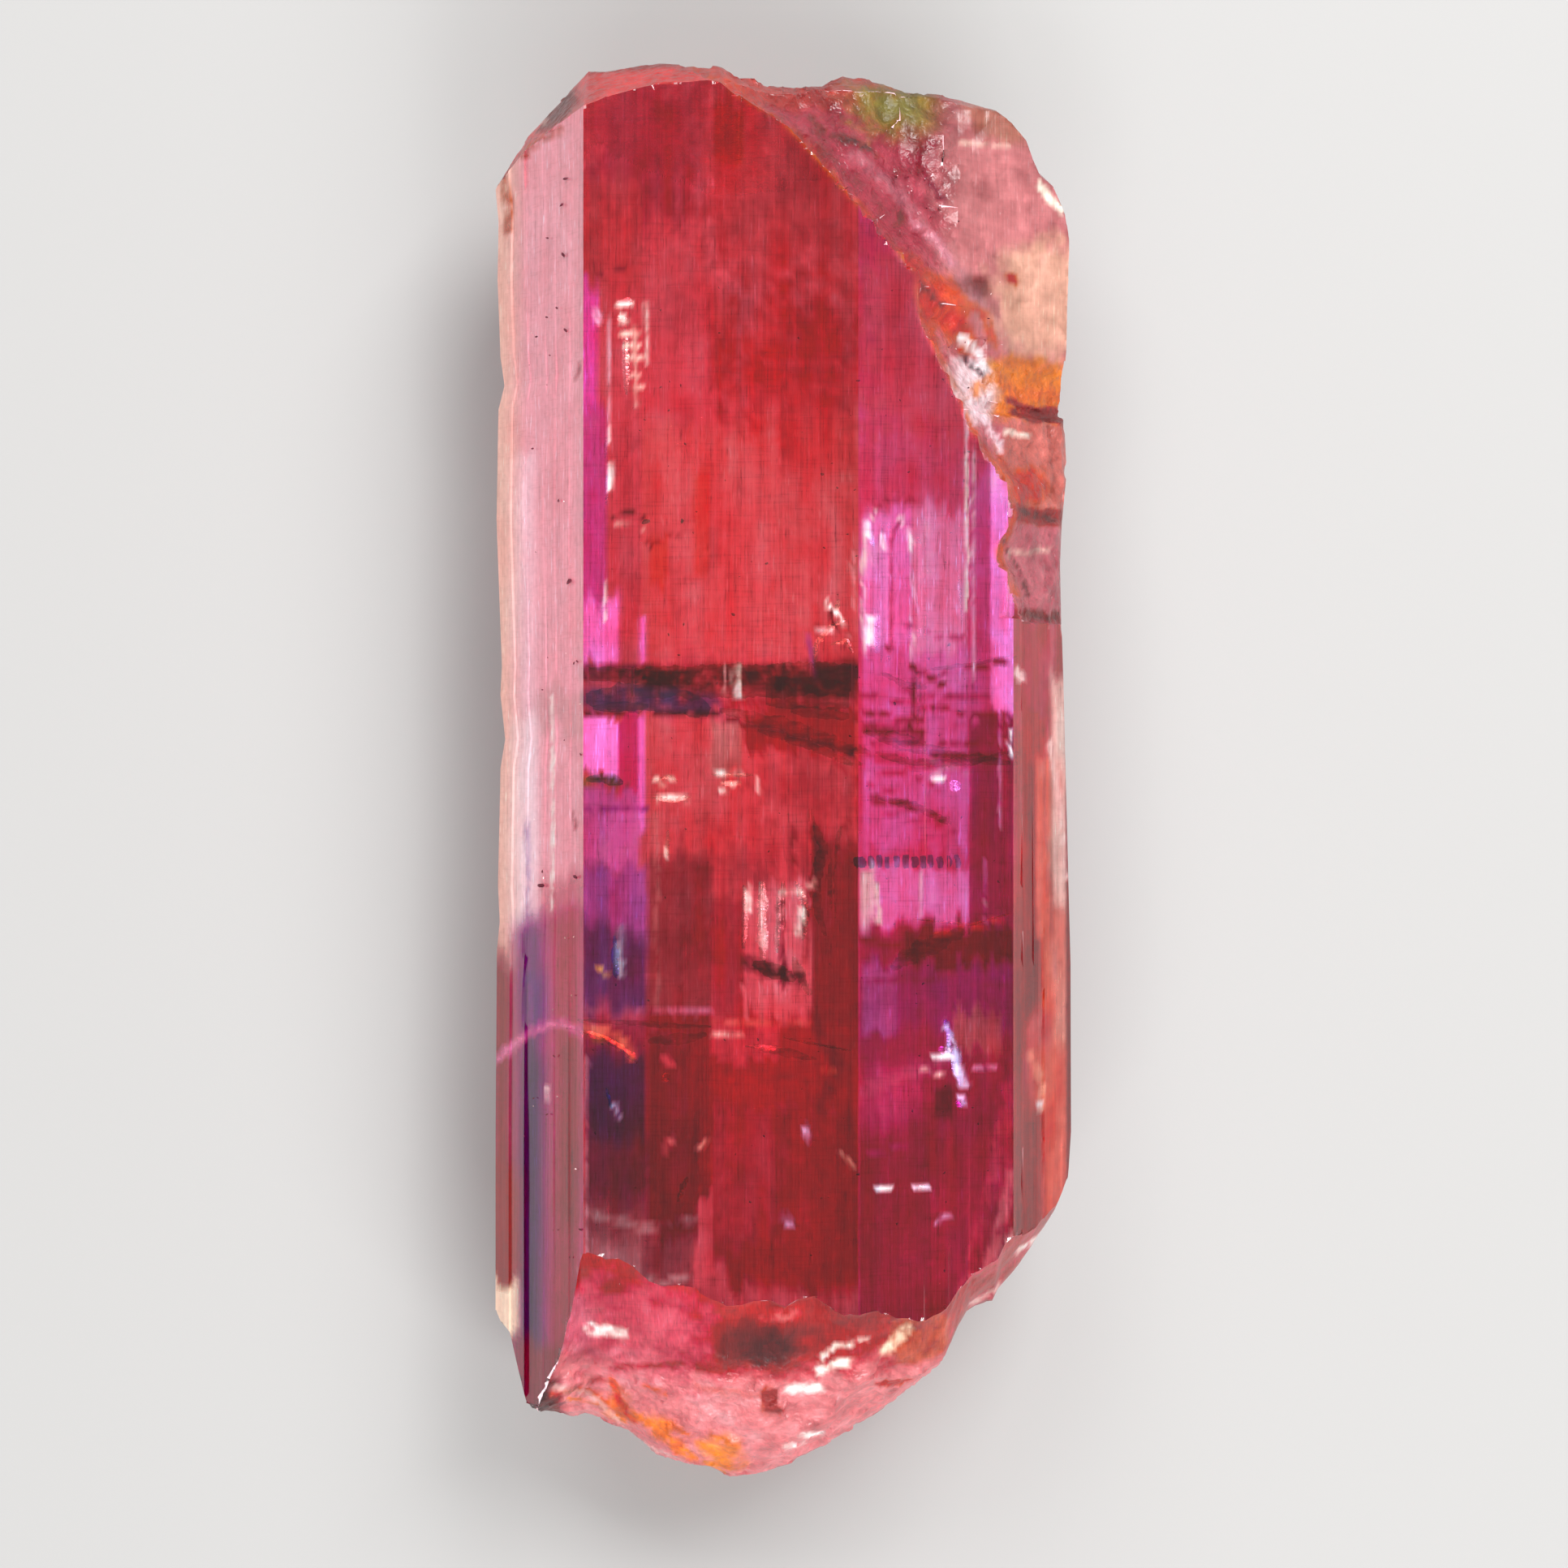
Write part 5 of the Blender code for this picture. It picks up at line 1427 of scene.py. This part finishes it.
def specks(name, material, rows, stray):
    """Tiny grains just under the upper faces: the plain ones listed one by one, and a scatter of stray ones.
    """
    count, least, greatest, seed = stray
    spread = random.Random(seed)
    rows = list(rows)
    for _ in range(count):
        rows.append((spread.uniform(*STRAY_X), spread.uniform(*STRAY_Y), spread.uniform(least, greatest)))
    bm = bmesh.new()
    for x, y, radius in rows:
        made = bmesh.ops.create_icosphere(bm, subdivisions=1, radius=radius * MM)
        least_depth, share = (0, LEFT_GRAIN_DEPTH) if x < LEFT_CORNER else GRAIN_DEPTH
        centre = Vector((x, y, float(upper_z(x)) - least_depth - share * radius)) * MM
        turn = spread.uniform(0, math.pi)
        for vertex in made["verts"]:
            vertex.co *= spread.uniform(*GRAIN_UNEVEN)
            long, narrow = vertex.co.x * GRAIN_LONG, vertex.co.y * GRAIN_NARROW
            vertex.co.x = long * math.cos(turn) - narrow * math.sin(turn)
            vertex.co.y = long * math.sin(turn) + narrow * math.cos(turn)
            vertex.co += centre
    piece(name, bm, material)


# The floor: its half width in metres, the gap under the crystal, and its look.
FLOOR_REACH = 1.0
FLOOR_GAP = 0.03
FLOOR_COLOUR = (0.32, 0.317, 0.314, 1)
FLOOR_ROUGHNESS = 0.6


def floor():
    """A plain pale floor just under the crystal."""
    bm = bmesh.new()
    bmesh.ops.create_grid(bm, x_segments=1, y_segments=1, size=FLOOR_REACH)
    made = Nodes("floor", Base_Color=FLOOR_COLOUR, Roughness=FLOOR_ROUGHNESS)
    plane = show("floor", new_mesh("floor", bm), made.material)
    plane.location.z = -FLOOR_GAP * MM


# The softboxes round the crystal: place and size in metres, and power in watts.
SOFTBOXES = {
    "key": ((0.12, 0.2, 0.3), (0.2, 0.16), 1.64),
    "beyond": ((-0.09, 0.22, 0.28), (0.18, 0.14), 0.52),
    "right": ((0.13, -0.2, 0.28), (0.2, 0.16), 1.03),
    "near": ((-0.07, -0.23, 0.28), (0.18, 0.14), 0.53),
}
SKY_COLOUR = (1, 0.98, 0.96, 1)
SKY_STRENGTH = 0.42


def softbox(name, place, size, power):
    """A rectangular light aimed at the crystal."""
    data = bpy.data.lights.new(name, "AREA")
    data.shape = "RECTANGLE"
    data.size, data.size_y = size
    data.energy = power
    made = bpy.data.objects.new(name, data)
    made.location = place
    made.rotation_euler = Vector(place).to_track_quat("Z", "Y").to_euler()
    bpy.context.scene.collection.objects.link(made)


def studio():
    """Soft light from four sides, brightest from the upper right, and a dim even sky."""
    world = bpy.data.worlds.new("studio")
    bpy.context.scene.world = world
    world.use_nodes = True
    background = world.node_tree.nodes["Background"]
    background.inputs["Color"].default_value = SKY_COLOUR
    background.inputs["Strength"].default_value = SKY_STRENGTH
    for name, (place, size, power) in SOFTBOXES.items():
        softbox(name, place, size, power)


# The camera: focal length and sensor in millimetres, and height and nearest visible distance in metres.
LENS = 100
SENSOR = 36
CAMERA_HEIGHT = 0.1121
NEAREST = 0.001


def camera():
    """A camera that looks straight down on the lying crystal, as the photograph shows it upright."""
    made = bpy.data.objects.new("camera", bpy.data.cameras.new("camera"))
    bpy.context.scene.collection.objects.link(made)
    made.data.lens = LENS
    made.data.sensor_width = SENSOR
    made.data.clip_start = NEAREST
    made.location = (0, 0, CAMERA_HEIGHT)
    bpy.context.scene.camera = made
    bpy.context.scene.view_settings.view_transform = "Standard"


def main():
    """Builds the crystal with its flaws, the floor, the lights and the camera."""
    bm = fine_mesh()
    dent(bm)
    crystal = piece("crystal", bm, topaz())
    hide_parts(CRYSTAL)
    paint(crystal.data)
    flaws()
    specks("specks", speck("speck_dark", (70, 14, 30)), SPECKS, STRAY_SPECKS)
    specks("sparks", flake("spark", (255, 216, 212)), (), STRAY_SPARKS)
    floor()
    studio()
    camera()


main()
